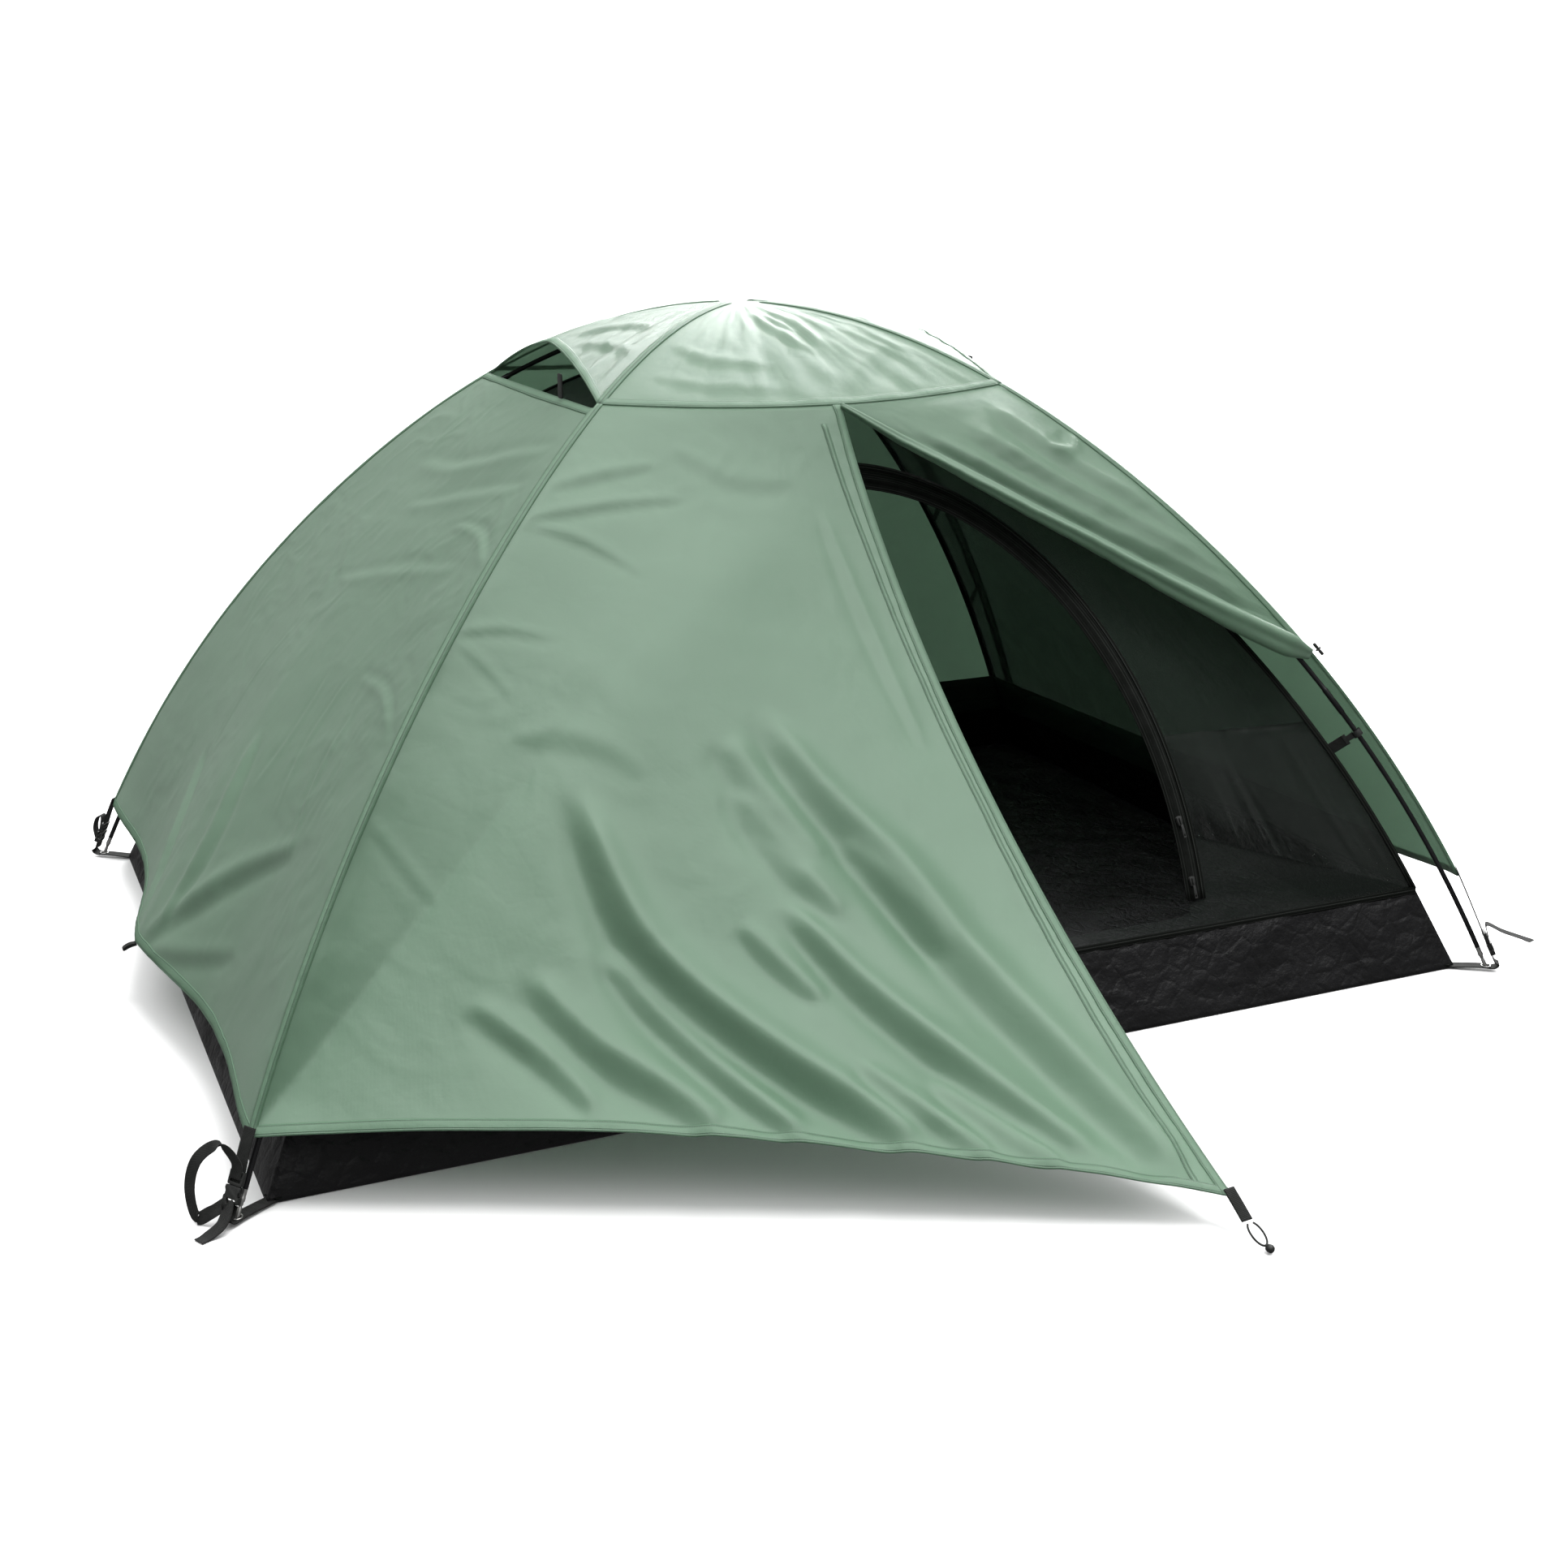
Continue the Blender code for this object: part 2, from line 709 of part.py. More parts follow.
def build_clip(leg, number, run):
    """A hook on the pole with a webbing arm down to the inner tent's seam."""
    centre = pole_point(leg, run)
    seam = leg_point(leg, run, -INNER_UNDER_POLE + 0.004)
    along = leg_direction(leg, run)
    place = frame_at(centre, centre - seam, along.cross(centre - seam))
    name = "pole_clip_" + leg + "_" + str(number)
    mesh = extrude_outline(name, clip_outline(), CLIP_DEPTH)
    hook = add_object(name, mesh, (TRIM_BLACK, 0.45), None, place)
    reach = (centre - seam).length
    inner = POLE_RADIUS * FERRULE_SWELL + 0.0012
    top = -inner - 0.0008
    size = (HOOK_WALL, CLIP_DEPTH * 0.9, reach + top)
    arm = box(name, size, (0.0, 0.0, (top - reach) / 2))
    cut(hook, arm, name + "_arm", "UNION")


def build_clips():
    for leg in LEGS:
        for number, run in enumerate(CLIP_RUNS):
            build_clip(leg, number + 1, run)
    crown = leg_point("fl", 0.0, -INNER_UNDER_POLE).z + 0.006
    tie = box("crown_tie", CROWN_TIE, (0.0, 0.0, crown + CROWN_TIE[2] / 2))
    add_object("crown_tie", tie, (TRIM_BLACK, 0.7))


# ---- corners: straps and side-release buckles -------------------------------
def build_corner(leg):
    side_x, side_y = LEGS[leg]
    tip = pole_point(leg, 1.0)
    tip.z = 0.0
    outward = Vector((side_x * TIP_X, side_y * TIP_Y, 0.0)).normalized()
    across = Vector((-outward.y, outward.x, 0.0))
    floor_corner = Vector((side_x * (HALF_X + 0.004), side_y * (HALF_Y + 0.004), 0.0))
    strap_foot = tip + outward * STRAP_REACH
    fly_corner = fly_leg(leg, HEM[leg])
    place = frame_at(strap_foot + Vector((0, 0, 0.006)), fly_corner - strap_foot, across)
    corner = add_empty("corner_" + leg, place)
    build_corner_strap(leg, floor_corner, tip, outward, fly_corner)
    build_buckle(leg, corner)


def build_corner_strap(leg, floor_corner, tip, outward, fly_corner):
    """Webbing from the floor's corner, round the pole tip and up to the buckle."""
    strap_foot = tip + outward * STRAP_REACH
    half = Vector((-outward.y, outward.x, 0.0)) * (WEBBING / 2)
    up = (fly_corner - strap_foot).normalized()
    level = Vector((0.0, 0.0, 0.0065))
    line = [
        floor_corner + level,
        strap_foot + level,
        strap_foot + level * 1.6 + up * 0.004,
        strap_foot + up * BUCKLE_FOOT,
    ]
    rows = [[point - half, point + half] for point in line]
    name = "corner_strap_" + leg
    made = sheet(name, rows, (TRIM_BLACK, 0.8), thickness=WEBBING_THICK)
    eyelet = bmesh.new()
    bmesh.ops.create_cone(
        eyelet,
        segments=12,
        radius1=EYELET_RADIUS,
        radius2=EYELET_RADIUS,
        depth=0.030,
        cap_ends=True,
        matrix=Matrix.Translation(tip + level - outward * 0.0025),
    )
    hole = bpy.data.meshes.new(name + "_hole")
    eyelet.to_mesh(hole)
    eyelet.free()
    cut(made, hole, name + "_hole")


def build_buckle(leg, corner):
    """Female half below, male half above, on the corner's own Z axis."""
    look = (TRIM_BLACK, 0.4)
    name = "buckle_female_" + leg
    middle = BUCKLE_FOOT + BUCKLE_LENGTH / 2
    size = (BUCKLE_WIDTH, BUCKLE_THICK, BUCKLE_LENGTH)
    female = add_object(name, box(name, size, (0, 0, middle)), look, corner)
    name = name + "_pocket"
    size = (BUCKLE_WIDTH - 2 * BUCKLE_WALL, BUCKLE_THICK - 0.0036, BUCKLE_LENGTH)
    cut(female, box(name, size, (0, 0, middle + 0.004)), name)
    name = "buckle_male_" + leg
    seat = BUCKLE_FOOT + BUCKLE_LENGTH + SMALL_GAP
    size = (BUCKLE_WIDTH - 0.002, BUCKLE_THICK - 0.001, BAR_LENGTH)
    male = add_object(name, box(name, size, (0, 0, seat + BAR_LENGTH / 2)), look, corner)
    size = (PRONG_WIDTH, BUCKLE_THICK - 0.005, BUCKLE_LENGTH - 0.0075)
    for side, label in ((-1, "_prong_left"), (1, "_prong_right")):
        centre = (side * PRONG_OUT, 0, seat - size[2] / 2 + 0.001)
        cut(male, box(name + label, size, centre), name + label, "UNION")


def build_corners():
    for leg in LEGS:
        build_corner(leg)


# ---- floor and inner tent -----------------------------------------------------
def inner_leg(leg, run):
    return leg_point(leg, run, -INNER_UNDER_POLE)


def bathtub_height(leg):
    return BATHTUB_FRONT if LEGS[leg][1] < 0 else BATHTUB_BACK


def foot_run(leg):
    """Run s at which the inner tent's leg meets the bathtub's top."""
    return run_at_height(leg, bathtub_height(leg), -INNER_UNDER_POLE)


def build_floor():
    look = (FLOOR_BLACK, 0.35)
    add_object(
        "floor_sheet",
        box("floor_sheet", (FLOOR_LENGTH - 0.006, FLOOR_WIDTH - 0.006, 0.003), (0, 0, 0.0015)),
        look,
    )
    for name, start, end in (
        ("bathtub_front", "fl", "fr"),
        ("bathtub_right", "fr", "br"),
        ("bathtub_back", "br", "bl"),
        ("bathtub_left", "bl", "fl"),
    ):
        rows = []
        for row in range(3):
            up = share(row, 3)
            corners = []
            for leg in (start, end):
                side_x, side_y = LEGS[leg]
                low = Vector((side_x * HALF_X, side_y * HALF_Y, 0.0045))
                top = inner_leg(leg, foot_run(leg))
                top.z -= SEAM_GAP
                corners.append(low.lerp(top, up))
            first, last = corners
            parts = [inset(share(i, 7), first, last, SEAM_GAP) for i in range(7)]
            rows.append([first.lerp(last, part) for part in parts])
        sheet(name, rows, look)


def inner_wall_rows(start_leg, end_leg, sag):
    row_count = 10
    column_count = 7
    top_run = 0.03
    rows = []
    for row in range(row_count):
        down = share(row, row_count)
        start = inner_leg(start_leg, top_run + (foot_run(start_leg) - top_run) * down)
        end = inner_leg(end_leg, top_run + (foot_run(end_leg) - top_run) * down)
        line = []
        for column in range(column_count):
            part = inset(share(column, column_count), start, end, SEAM_GAP)
            line.append(start.lerp(end, part) + sag * (arch(part) * arch(down)))
        rows.append(line)
    return rows


def doorway_point(angle):
    """The doorway's outline in X and Z, seen from its centre."""
    centre_z = DOORWAY_FOOT + 0.30
    along_x = math.cos(angle)
    along_z = math.sin(angle)

    def outside(reach):
        x = abs(reach * along_x) / DOORWAY_HALF
        z = (centre_z + reach * along_z - DOORWAY_FOOT) / DOORWAY_RISE
        return z < 0 or x ** DOORWAY_POWER + max(z, 0) ** DOORWAY_POWER > 1

    return centre_z, reach_until(outside, 0.9)


def reach_until(outside, limit):
    low, high = 0.0, limit
    for _ in range(40):
        middle = (low + high) / 2
        if outside(middle):
            high = middle
        else:
            low = middle
    return low


def front_wall_point(x, z):
    """The inner tent's front wall at a given X and Z."""
    run = run_at_height("fl", z, -INNER_UNDER_POLE)
    return Vector((x, inner_leg("fl", run).y, z))


def front_wall_reach(angle, centre_z):
    along_x = math.cos(angle)
    along_z = math.sin(angle)

    def outside(reach):
        x = abs(reach * along_x)
        z = centre_z + reach * along_z
        if z < BATHTUB_FRONT:
            return True
        run = run_at_height("fl", z, -INNER_UNDER_POLE)
        return x > abs(inner_leg("fl", run).x) - SEAM_GAP or run < 0.04

    return reach_until(outside, 1.3)


def build_inner_front():
    """The front wall: a ring of cloth round the D-shaped doorway."""
    angles = 52
    ring_count = 4
    rows = [[] for _ in range(ring_count)]
    for step in range(angles):
        angle = 2 * math.pi * step / angles
        centre_z, near = doorway_point(angle)
        far = front_wall_reach(angle, centre_z)
        for ring in range(ring_count):
            reach = near + (far - near) * share(ring, ring_count)
            x = reach * math.cos(angle)
            z = centre_z + reach * math.sin(angle)
            rows[ring].append(front_wall_point(x, z))
    sheet("inner_front", rows, (INNER_GREEN, 0.7), closed=True)


def doorway_edge(turn):
    """The doorway's side and top edge from its right foot over to its left foot."""
    angle = math.pi * turn
    power = 2.0 / DOORWAY_POWER
    cosine = math.cos(angle)
    x = DOORWAY_HALF * math.copysign(abs(cosine) ** power, cosine)
    z = DOORWAY_FOOT + DOORWAY_RISE * abs(math.sin(angle)) ** power
    return x, z


def build_inner_zip():
    """Zip tape round the doorway, in front of the wall's edge."""
    count = 29
    ahead = Vector((0.0, -0.0034, 0.0))
    rows = []
    for index in range(count):
        turn = 0.01 + 0.98 * share(index, count)
        before = Vector(doorway_edge(turn - 0.005))
        after = Vector(doorway_edge(turn + 0.005))
        tangent = (after - before).normalized()
        normal = Vector((tangent.y, -tangent.x))
        here = Vector(doorway_edge(turn))
        line = []
        for shift in (-0.006, ZIP_TAPE / 2 - 0.006, ZIP_TAPE - 0.006):
            spot = here + normal * shift
            line.append(front_wall_point(spot.x, max(spot.y, DOORWAY_FOOT)) + ahead)
        rows.append(line)
    sheet("inner_zip_tape", rows, (TRIM_BLACK, 0.7))
    for name, turn in (("inner_zip_slider_low", 0.020), ("inner_zip_slider_high", 0.060)):
        x, z = doorway_edge(turn)
        x_after, z_after = doorway_edge(turn + 0.025)
        spot = front_wall_point(x + 0.006, z) + Vector((0, -0.0085, 0))
        ahead_spot = front_wall_point(x_after + 0.006, z_after) + Vector((0, -0.0085, 0))
        place = frame_at(spot, ahead_spot - spot, (0, -1, 0.6))
        add_object(name, slider_mesh(name), (TRIM_BLACK, 0.35), None, place)


def build_inner_door():
    """The inner door panel, gathered in a bundle beside the doorway."""

    def centre(part):
        x, z = doorway_edge(0.93 - 0.20 * part)
        x += 0.045
        return front_wall_point(x, max(z, DOORWAY_FOOT + 0.02)) + Vector((0, 0.045, 0))

    def radius(part):
        return 0.012 + 0.012 * math.sqrt(math.sin(math.pi * part))

    east = Vector((1, 0, 0))
    north = Vector((0, 1, 0))
    bundle("inner_door_gathered", centre, radius, east, north, (INNER_GREEN, 0.7))


def build_inner():
    look = (INNER_GREEN, 0.7)
    build_floor()
    build_inner_front()
    sheet("inner_right", inner_wall_rows("fr", "br", Vector((-0.012, 0, 0))), look)
    sheet("inner_back", inner_wall_rows("br", "bl", Vector((0, -0.012, 0))), look)
    sheet("inner_left", inner_wall_rows("bl", "fl", Vector((0.012, 0, 0))), look)
    build_inner_zip()
    build_inner_door()


# ---- small fittings ---------------------------------------------------------------
def build_vent_strut(name, side):
    """A stiff prop that holds the vent hood open, folding down on its foot."""
    lip = end_panel_rows("fl", "bl", Vector((-1, 0, 0)))[0]
    spot = lip[STRUT_PLACE].copy()
    spot.x = -side * spot.x
    foot = spot + Vector((side * 0.002, 0.0, 0.004))
    hinge = add_empty(name + "_hinge", Matrix.Translation(foot))
    strut = box(name, STRUT, (0.0, 0.0, STRUT[2] / 2 + 0.001))
    add_object(name, strut, (TRIM_BLACK, 0.6), hinge)


def build_toggle():
    """The bar toggle and the loop that hold the rolled door at the ridge."""
    knot = fly_leg("fr", TOGGLE_RUN)
    along = leg_direction("fr", TOGGLE_RUN)
    out = (knot - leg_point("fr", TOGGLE_RUN)).normalized()
    centre = knot + out * TOGGLE_OUT
    radius = TOGGLE_RADIUS
    half = TOGGLE_HALF
    profile = [
        (radius * 0.6, -half),
        (radius, -half + 0.002),
        (radius, -0.003),
        (radius * 0.75, 0.0),
        (radius, 0.003),
        (radius, half - 0.002),
        (radius * 0.6, half),
    ]
    place = frame_at(centre, along, out)
    turned("door_toggle", profile, (TRIM_BLACK, 0.4), matrix=place, steps=10)
    side = along.cross(out)
    loop = []
    count = 13
    for index in range(count):
        angle = math.radians(-60 + 300 * share(index, count))
        rise = TOGGLE_LOOP[0] * math.cos(angle)
        loop.append(centre + out * rise + side * (TOGGLE_LOOP[1] * math.sin(angle)))
    tube("door_toggle_loop", loop, TOGGLE_CORD_RADIUS, (TRIM_BLACK, 0.8))


def build_pull_out(name, spot, outward):
    """A small webbing loop at the middle of a hem."""
    across = outward.cross(Vector((0, 0, 1))).normalized() * PULL_OUT_HALF
    start = spot + outward * 0.003
    middle = spot + outward * 0.018 - Vector((0, 0, 0.004))
    end = spot + outward * 0.022 - Vector((0, 0, 0.010))
    rows = [[point - across, point + across] for point in (start, middle, end)]
    sheet(name, rows, (TRIM_BLACK, 0.8))


def build_fittings():
    build_vent_strut("vent_strut_left", -1)
    build_vent_strut("vent_strut_right", 1)
    build_toggle()
    middle = 6
    left = end_panel_rows("fl", "bl", Vector((-1, 0, 0)))[-1][middle]
    right = end_panel_rows("fr", "br", Vector((1, 0, 0)))[-1][middle]
    back = back_panel_rows()[-1][middle]
    build_pull_out("pull_out_left", left, Vector((-1, 0, 0)))
    build_pull_out("pull_out_right", right, Vector((1, 0, 0)))
    build_pull_out("pull_out_back", back, Vector((0, 1, 0)))


def main():
    for old in list(bpy.data.objects):
        bpy.data.objects.remove(old, do_unlink=True)
    build_poles()
    build_inner()
    build_clips()
    build_fly()
    build_corners()
    build_fittings()


main()
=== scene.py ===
"""A two-pole backpacking dome tent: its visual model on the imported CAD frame.

Frame: X along the tent's length, the front door faces -Y, +Z is up, and the
origin is the centre of the floor's underside. Sizes are in metres. The cloth
surfaces repeat the CAD part's formulas, so that they lie where its solids are.
"""
import math

import bmesh
import bpy
import numpy as np
from mathutils import Matrix, Vector


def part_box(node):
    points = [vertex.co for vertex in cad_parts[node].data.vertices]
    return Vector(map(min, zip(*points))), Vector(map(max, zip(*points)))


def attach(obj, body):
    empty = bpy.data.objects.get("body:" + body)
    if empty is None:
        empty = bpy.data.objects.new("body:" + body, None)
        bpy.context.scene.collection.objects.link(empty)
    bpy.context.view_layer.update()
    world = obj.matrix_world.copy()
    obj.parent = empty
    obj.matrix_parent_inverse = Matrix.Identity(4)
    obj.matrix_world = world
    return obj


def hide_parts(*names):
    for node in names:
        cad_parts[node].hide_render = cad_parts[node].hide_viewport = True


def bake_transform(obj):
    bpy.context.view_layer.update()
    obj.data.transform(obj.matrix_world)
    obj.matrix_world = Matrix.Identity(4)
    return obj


# ---- the CAD part's driving dimensions --------------------------------------
FLOOR_LENGTH = 2.10
FLOOR_WIDTH = 1.58
BATHTUB_FRONT = 0.145
BATHTUB_BACK = 0.100
POLE_RISE = 1.122
POLE_RADIUS = 0.00425
POLE_OUT_X = 0.047
POLE_OUT_Y = 0.031
POLE_END = 0.985
POLE_SECTIONS = 9
CROSSING_SPREAD = 0.12
FLY_OVER_POLE = 0.021
INNER_UNDER_POLE = 0.055
ARC_SQUARE = 1.06
ARC_FOURTH = -0.40
ARC_SIXTH = 1.0 - ARC_SQUARE - ARC_FOURTH
ARC_SIDE_BOW = 0.018
BOW_PEAK = 2.0 / (3.0 * math.sqrt(3.0))
LEGS = {"fl": (-1, -1), "fr": (1, -1), "br": (1, 1), "bl": (-1, 1)}
SIDES = {"front": ("fl", "fr"), "right": ("fr", "br"), "back": ("br", "bl"), "left": ("bl", "fl")}
ROOF_EDGE = 0.335
END_TOP = ROOF_EDGE + 0.008
HEM = {"fl": 0.962, "fr": 0.938, "br": 0.962, "bl": 0.962}
FRONT_BULGE = np.array((0.0, -0.066, -0.012))
BACK_BULGE = np.array((0.0, 0.045, -0.010))
HOOD_RISE = np.array((0.015, 0.0, 0.075))
DOOR_TOP_SHARE = 0.54
VESTIBULE_TIP = np.array((0.135, -1.385, 0.047))
ZIP_SAG = 0.105
HEM_LIFT = 0.045
END_PULL = 0.050
HEM_SCALLOP = 0.030
TOGGLE_RUN = 0.735
ROLL_RADIUS_END = 0.024
DOORWAY_HALF = 0.51
DOORWAY_FOOT = 0.165
DOORWAY_RISE = 0.705
DOORWAY_POWER = 2.2
CLIP_RUNS = (0.66, 0.81)
BALL_RADIUS = 0.0060
TIP_CORD_RADIUS = 0.0015
WEBBING = 0.022

HALF_X = FLOOR_LENGTH / 2
HALF_Y = FLOOR_WIDTH / 2
TIP_X = HALF_X + POLE_OUT_X
TIP_Y = HALF_Y + POLE_OUT_Y

# ---- the visual model's own sizes --------------------------------------------
UP = np.array((0.0, 0.0, 1.0))
LEVEL = np.array((1.0, 1.0, 0.0))
TIP_LOOP = (                   # share of the way to the ball, metres to the side
    (0.06, -0.0047), (0.20, -0.0080), (0.40, -0.0098), (0.62, -0.0097), (0.82, -0.0077),
    (0.95, -0.0043), (1.00, 0.0000), (0.95, 0.0043), (0.82, 0.0077), (0.62, 0.0097),
    (0.40, 0.0098), (0.20, 0.0080), (0.06, 0.0047),
)
BILLOW = 0.055                 # the front's slack cloth stands out this far
HINGE_SOFT = 0.24              # how far across the front its hinge line is eased
FLY_THICK = 0.0008
INNER_THICK = 0.0007
SEAM_HALF = 0.0085             # half the width of a felled seam
SEAM_LINE = FLY_OVER_POLE + 0.0026     # a ridge seam's middle, out from the pole
HEM_WIDTH = 0.017


# ---- arrays of points ----------------------------------------------------------
def unit(vectors):
    return vectors / np.maximum(np.linalg.norm(vectors, axis=-1, keepdims=True), 1e-9)


def mix(start, end, part):
    """Points between start and end; part is an array of shares."""
    part = np.asarray(part, float)[..., None]
    return start + (end - start) * part


def shares(count):
    return np.linspace(0.0, 1.0, count)


def grid_shares(rows, columns):
    """Shares down and across a grid."""
    return np.meshgrid(shares(rows), shares(columns), indexing="ij")


def arch(part):
    """0 at both ends of 0..1, 1 in the middle."""
    return 4 * part * (1 - part)


def smooth(value, low, high):
    """0 below low, 1 above high, smooth between."""
    part = np.clip((value - low) / (high - low), 0.0, 1.0)
    return part * part * (3 - 2 * part)


def leg_points(leg, run, out=0.0):
    """Points on a pole's leg, moved out along the leg's outward normal."""
    run = np.asarray(run, float)
    side_x, side_y = LEGS[leg]
    reach = math.hypot(TIP_X, TIP_Y)
    bow = ARC_SIDE_BOW * (run - run ** 3) / BOW_PEAK
    x = side_x * (TIP_X * run - bow * TIP_Y / reach)
    y = side_y * (TIP_Y * run + bow * TIP_X / reach)
    square = run * run
    height = 1 - ARC_SQUARE * square - ARC_FOURTH * square ** 2 - ARC_SIXTH * square ** 3
    slope = -2 * ARC_SQUARE * run - 4 * ARC_FOURTH * run ** 3 - 6 * ARC_SIXTH * run ** 5
    along = np.array((side_x * TIP_X, side_y * TIP_Y, 0.0)) / reach
    normal = unit(along * (-POLE_RISE * slope)[..., None] + reach * UP)
    out = np.asarray(out, float)[..., None]
    return np.stack((x, y, POLE_RISE * height), -1) + normal * out


def pole_points(leg, run):
    """A pole's centre line: pole b passes over pole a at the crossing."""
    run = np.asarray(run, float)
    side = -1 if leg in ("fl", "br") else 1
    lift = (POLE_RADIUS + 0.0004) * 1.22
    return leg_points(leg, run, side * lift * np.exp(-((run / CROSSING_SPREAD) ** 2)))


def fly_leg(leg, run):
    return leg_points(leg, run, FLY_OVER_POLE)


def inner_leg(leg, run):
    return leg_points(leg, run, -INNER_UNDER_POLE)


def inner_run(leg, height):
    """The run at which the inner tent's leg is that high."""
    runs = np.linspace(0.0, 1.0, 1200)
    return np.interp(-np.asarray(height, float), -inner_leg(leg, runs)[:, 2], runs)


# ---- seeded noise ---------------------------------------------------------------
def noise(x, y, seed):
    """Smooth noise over two arrays, about -1 to 1, the same on each run."""
    turns = np.random.default_rng(seed).uniform(0, 2 * math.pi, (64, 64))
    cell_x = np.floor(x).astype(int)
    cell_y = np.floor(y).astype(int)
    in_x = x - cell_x
    in_y = y - cell_y

    def corner(step_x, step_y):
        turn = turns[(cell_x + step_x) % 64, (cell_y + step_y) % 64]
        return np.cos(turn) * (in_x - step_x) + np.sin(turn) * (in_y - step_y)

    fade_x = in_x ** 3 * (in_x * (in_x * 6 - 15) + 10)
    fade_y = in_y ** 3 * (in_y * (in_y * 6 - 15) + 10)
    low = corner(0, 0) + (corner(1, 0) - corner(0, 0)) * fade_x
    high = corner(0, 1) + (corner(1, 1) - corner(0, 1)) * fade_x
    return 1.5 * (low + (high - low) * fade_y)


def creases(x, y, seed):
    """Noise with sharp winding ridges, 0 to about 1, as in cloth that was packed."""
    bend_x = noise(x * 0.7, y * 0.7, seed + 1)
    bend_y = noise(x * 0.7 + 9, y * 0.7 + 5, seed + 2)
    return (1 - np.minimum(np.abs(noise(x + bend_x, y + bend_y, seed)) * 1.9, 1)) ** 1.6


# ---- the fly's surfaces, as functions of shares down and across -------------------
def roof_surface(side, run, part):
    """The roof cap on one of its four sides, from the crossing to its edge."""
    start, end = SIDES[side]
    grown = (run / ROOF_EDGE) ** 2
    if side in ("front", "back"):
        bulge = FRONT_BULGE if side == "front" else BACK_BULGE
        lift = bulge * (grown * arch(part))[..., None]
    else:
        peaked = 0.55 * arch(part) + 0.45 * (1 - np.sqrt((2 * part - 1) ** 2 + 0.004))
        outward = np.array((1.0 if side == "left" else -1.0, 1.0, 1.0))
        lift = HOOD_RISE * outward * (grown * peaked)[..., None]
    return mix(fly_leg(start, run), fly_leg(end, run), part) + lift


def hung_surface(first, last, top, outward, pull, bulge=0.0):
    """A panel between two legs, from the run top to its hem, pulled out at its foot."""
    def surface(down, part):
        start = fly_leg(first, top + (HEM[first] - top) * down)
        end = fly_leg(last, top + (HEM[last] - top) * down)
        peak = 1 - np.abs(2 * part - 1)
        foot = pull * peak ** 1.5 - HEM_SCALLOP * np.sin(2 * math.pi * part) ** 2
        out = np.array(outward) * (foot * down ** 3)[..., None]
        return mix(start, end, part) + out + bulge * (arch(part) * (1 - down) ** 2)[..., None]

    return surface


def door_top():
    """Where the door's zip starts, on the seam under the roof cap."""
    middle = mix(fly_leg("fl", ROOF_EDGE), fly_leg("fr", ROOF_EDGE), DOOR_TOP_SHARE)
    return middle + FRONT_BULGE * arch(DOOR_TOP_SHARE)


def zip_edge(down):
    """The left door half's free edge, from the door's top to the vestibule's tip."""
    chord = VESTIBULE_TIP - door_top()
    inward = unit(np.array((0.0, -chord[2], chord[1])))
    return door_top() + chord * down[..., None] + inward * (ZIP_SAG * arch(down ** 0.9))[..., None]


def front_bulge(across, part, down):
    """The roof's bulge fading down a front panel, less what its straight top has."""
    flat = arch(DOOR_TOP_SHARE) * part
    return FRONT_BULGE * ((arch(across) - flat) * (1 - down) ** 2)[..., None]


def front_left_surface(down, part):
    """Ridge to zip edge as one smooth sheet; the door's hinge line is on its way."""
    ridge = fly_leg("fl", ROOF_EDGE + (HEM["fl"] - ROOF_EDGE) * down)
    hinge = mix(door_top(), fly_leg("fl", HEM["fl"]), down)
    free = zip_edge(down)
    near = np.linalg.norm(hinge - ridge, axis=-1)
    far = np.linalg.norm(free - hinge, axis=-1)
    knee = (near + 1e-4) / (near + far + 2e-4)
    before = np.minimum(part / knee, 1)
    after = np.clip((part - knee) / (1 - knee), 0, 1)
    straight = np.where(
        (part < knee)[..., None], mix(ridge, hinge, before), mix(hinge, free, after)
    )
    chord = mix(ridge, free, part)
    ease = np.exp(-(((part - knee) / HINGE_SOFT) ** 2)) * arch(np.clip(part, 0, 1))
    rounded = straight + (chord - straight) * (0.80 * ease)[..., None]
    bulge = front_bulge(DOOR_TOP_SHARE * part, part, down)
    lift = UP * (HEM_LIFT * down ** 4 * arch(after))[..., None]
    belly = arch(part) ** 1.5 * arch(np.clip(down * 1.05 - 0.05, 0, 1)) ** 1.5
    billow = BILLOW * unit(np.array((-0.30, -0.75, 0.60)))
    return rounded + bulge + lift + billow * belly[..., None]


def front_right_surface(down, part):
    """Between the right ridge and the roll's line, from the roof to the toggle."""
    ridge = fly_leg("fr", ROOF_EDGE + (TOGGLE_RUN - ROOF_EDGE) * down)
    line = mix(door_top(), fly_leg("fr", TOGGLE_RUN), down)
    return mix(ridge, line, part) + front_bulge(1 + (DOOR_TOP_SHARE - 1) * part, part, down)


# ---- meshes and objects ----------------------------------------------------------
def new_object(name, mesh, look, body="tent"):
    made = bpy.data.objects.new(name, mesh)
    bpy.context.scene.collection.objects.link(made)
    mesh.materials.append(LOOKS[look])
    if body is not None:
        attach(made, body)
    return made


def grid_mesh(name, points, closed=False):
    """A smooth-shaded mesh over a grid; its UVs are metres across and down."""
    rows, columns = points.shape[:2]
    last = columns if closed else columns - 1
    row, column = np.meshgrid(np.arange(rows - 1), np.arange(last), indexing="ij")
    after = (column + 1) % columns
    corners = ((row, column), (row, after), (row + 1, after), (row + 1, column))
    faces = np.stack([r * columns + c for r, c in corners], -1).reshape(-1, 4)
    mesh = bpy.data.meshes.new(name)
    mesh.from_pydata(points.reshape(-1, 3).tolist(), [], faces.tolist())
    layer = mesh.uv_layers.new(name="metres")
    flat = np.stack([way.ravel() for way in metres(points)], -1)[faces.ravel()]
    layer.data.foreach_set("uv", flat.ravel())
    mesh.shade_smooth()
    return mesh


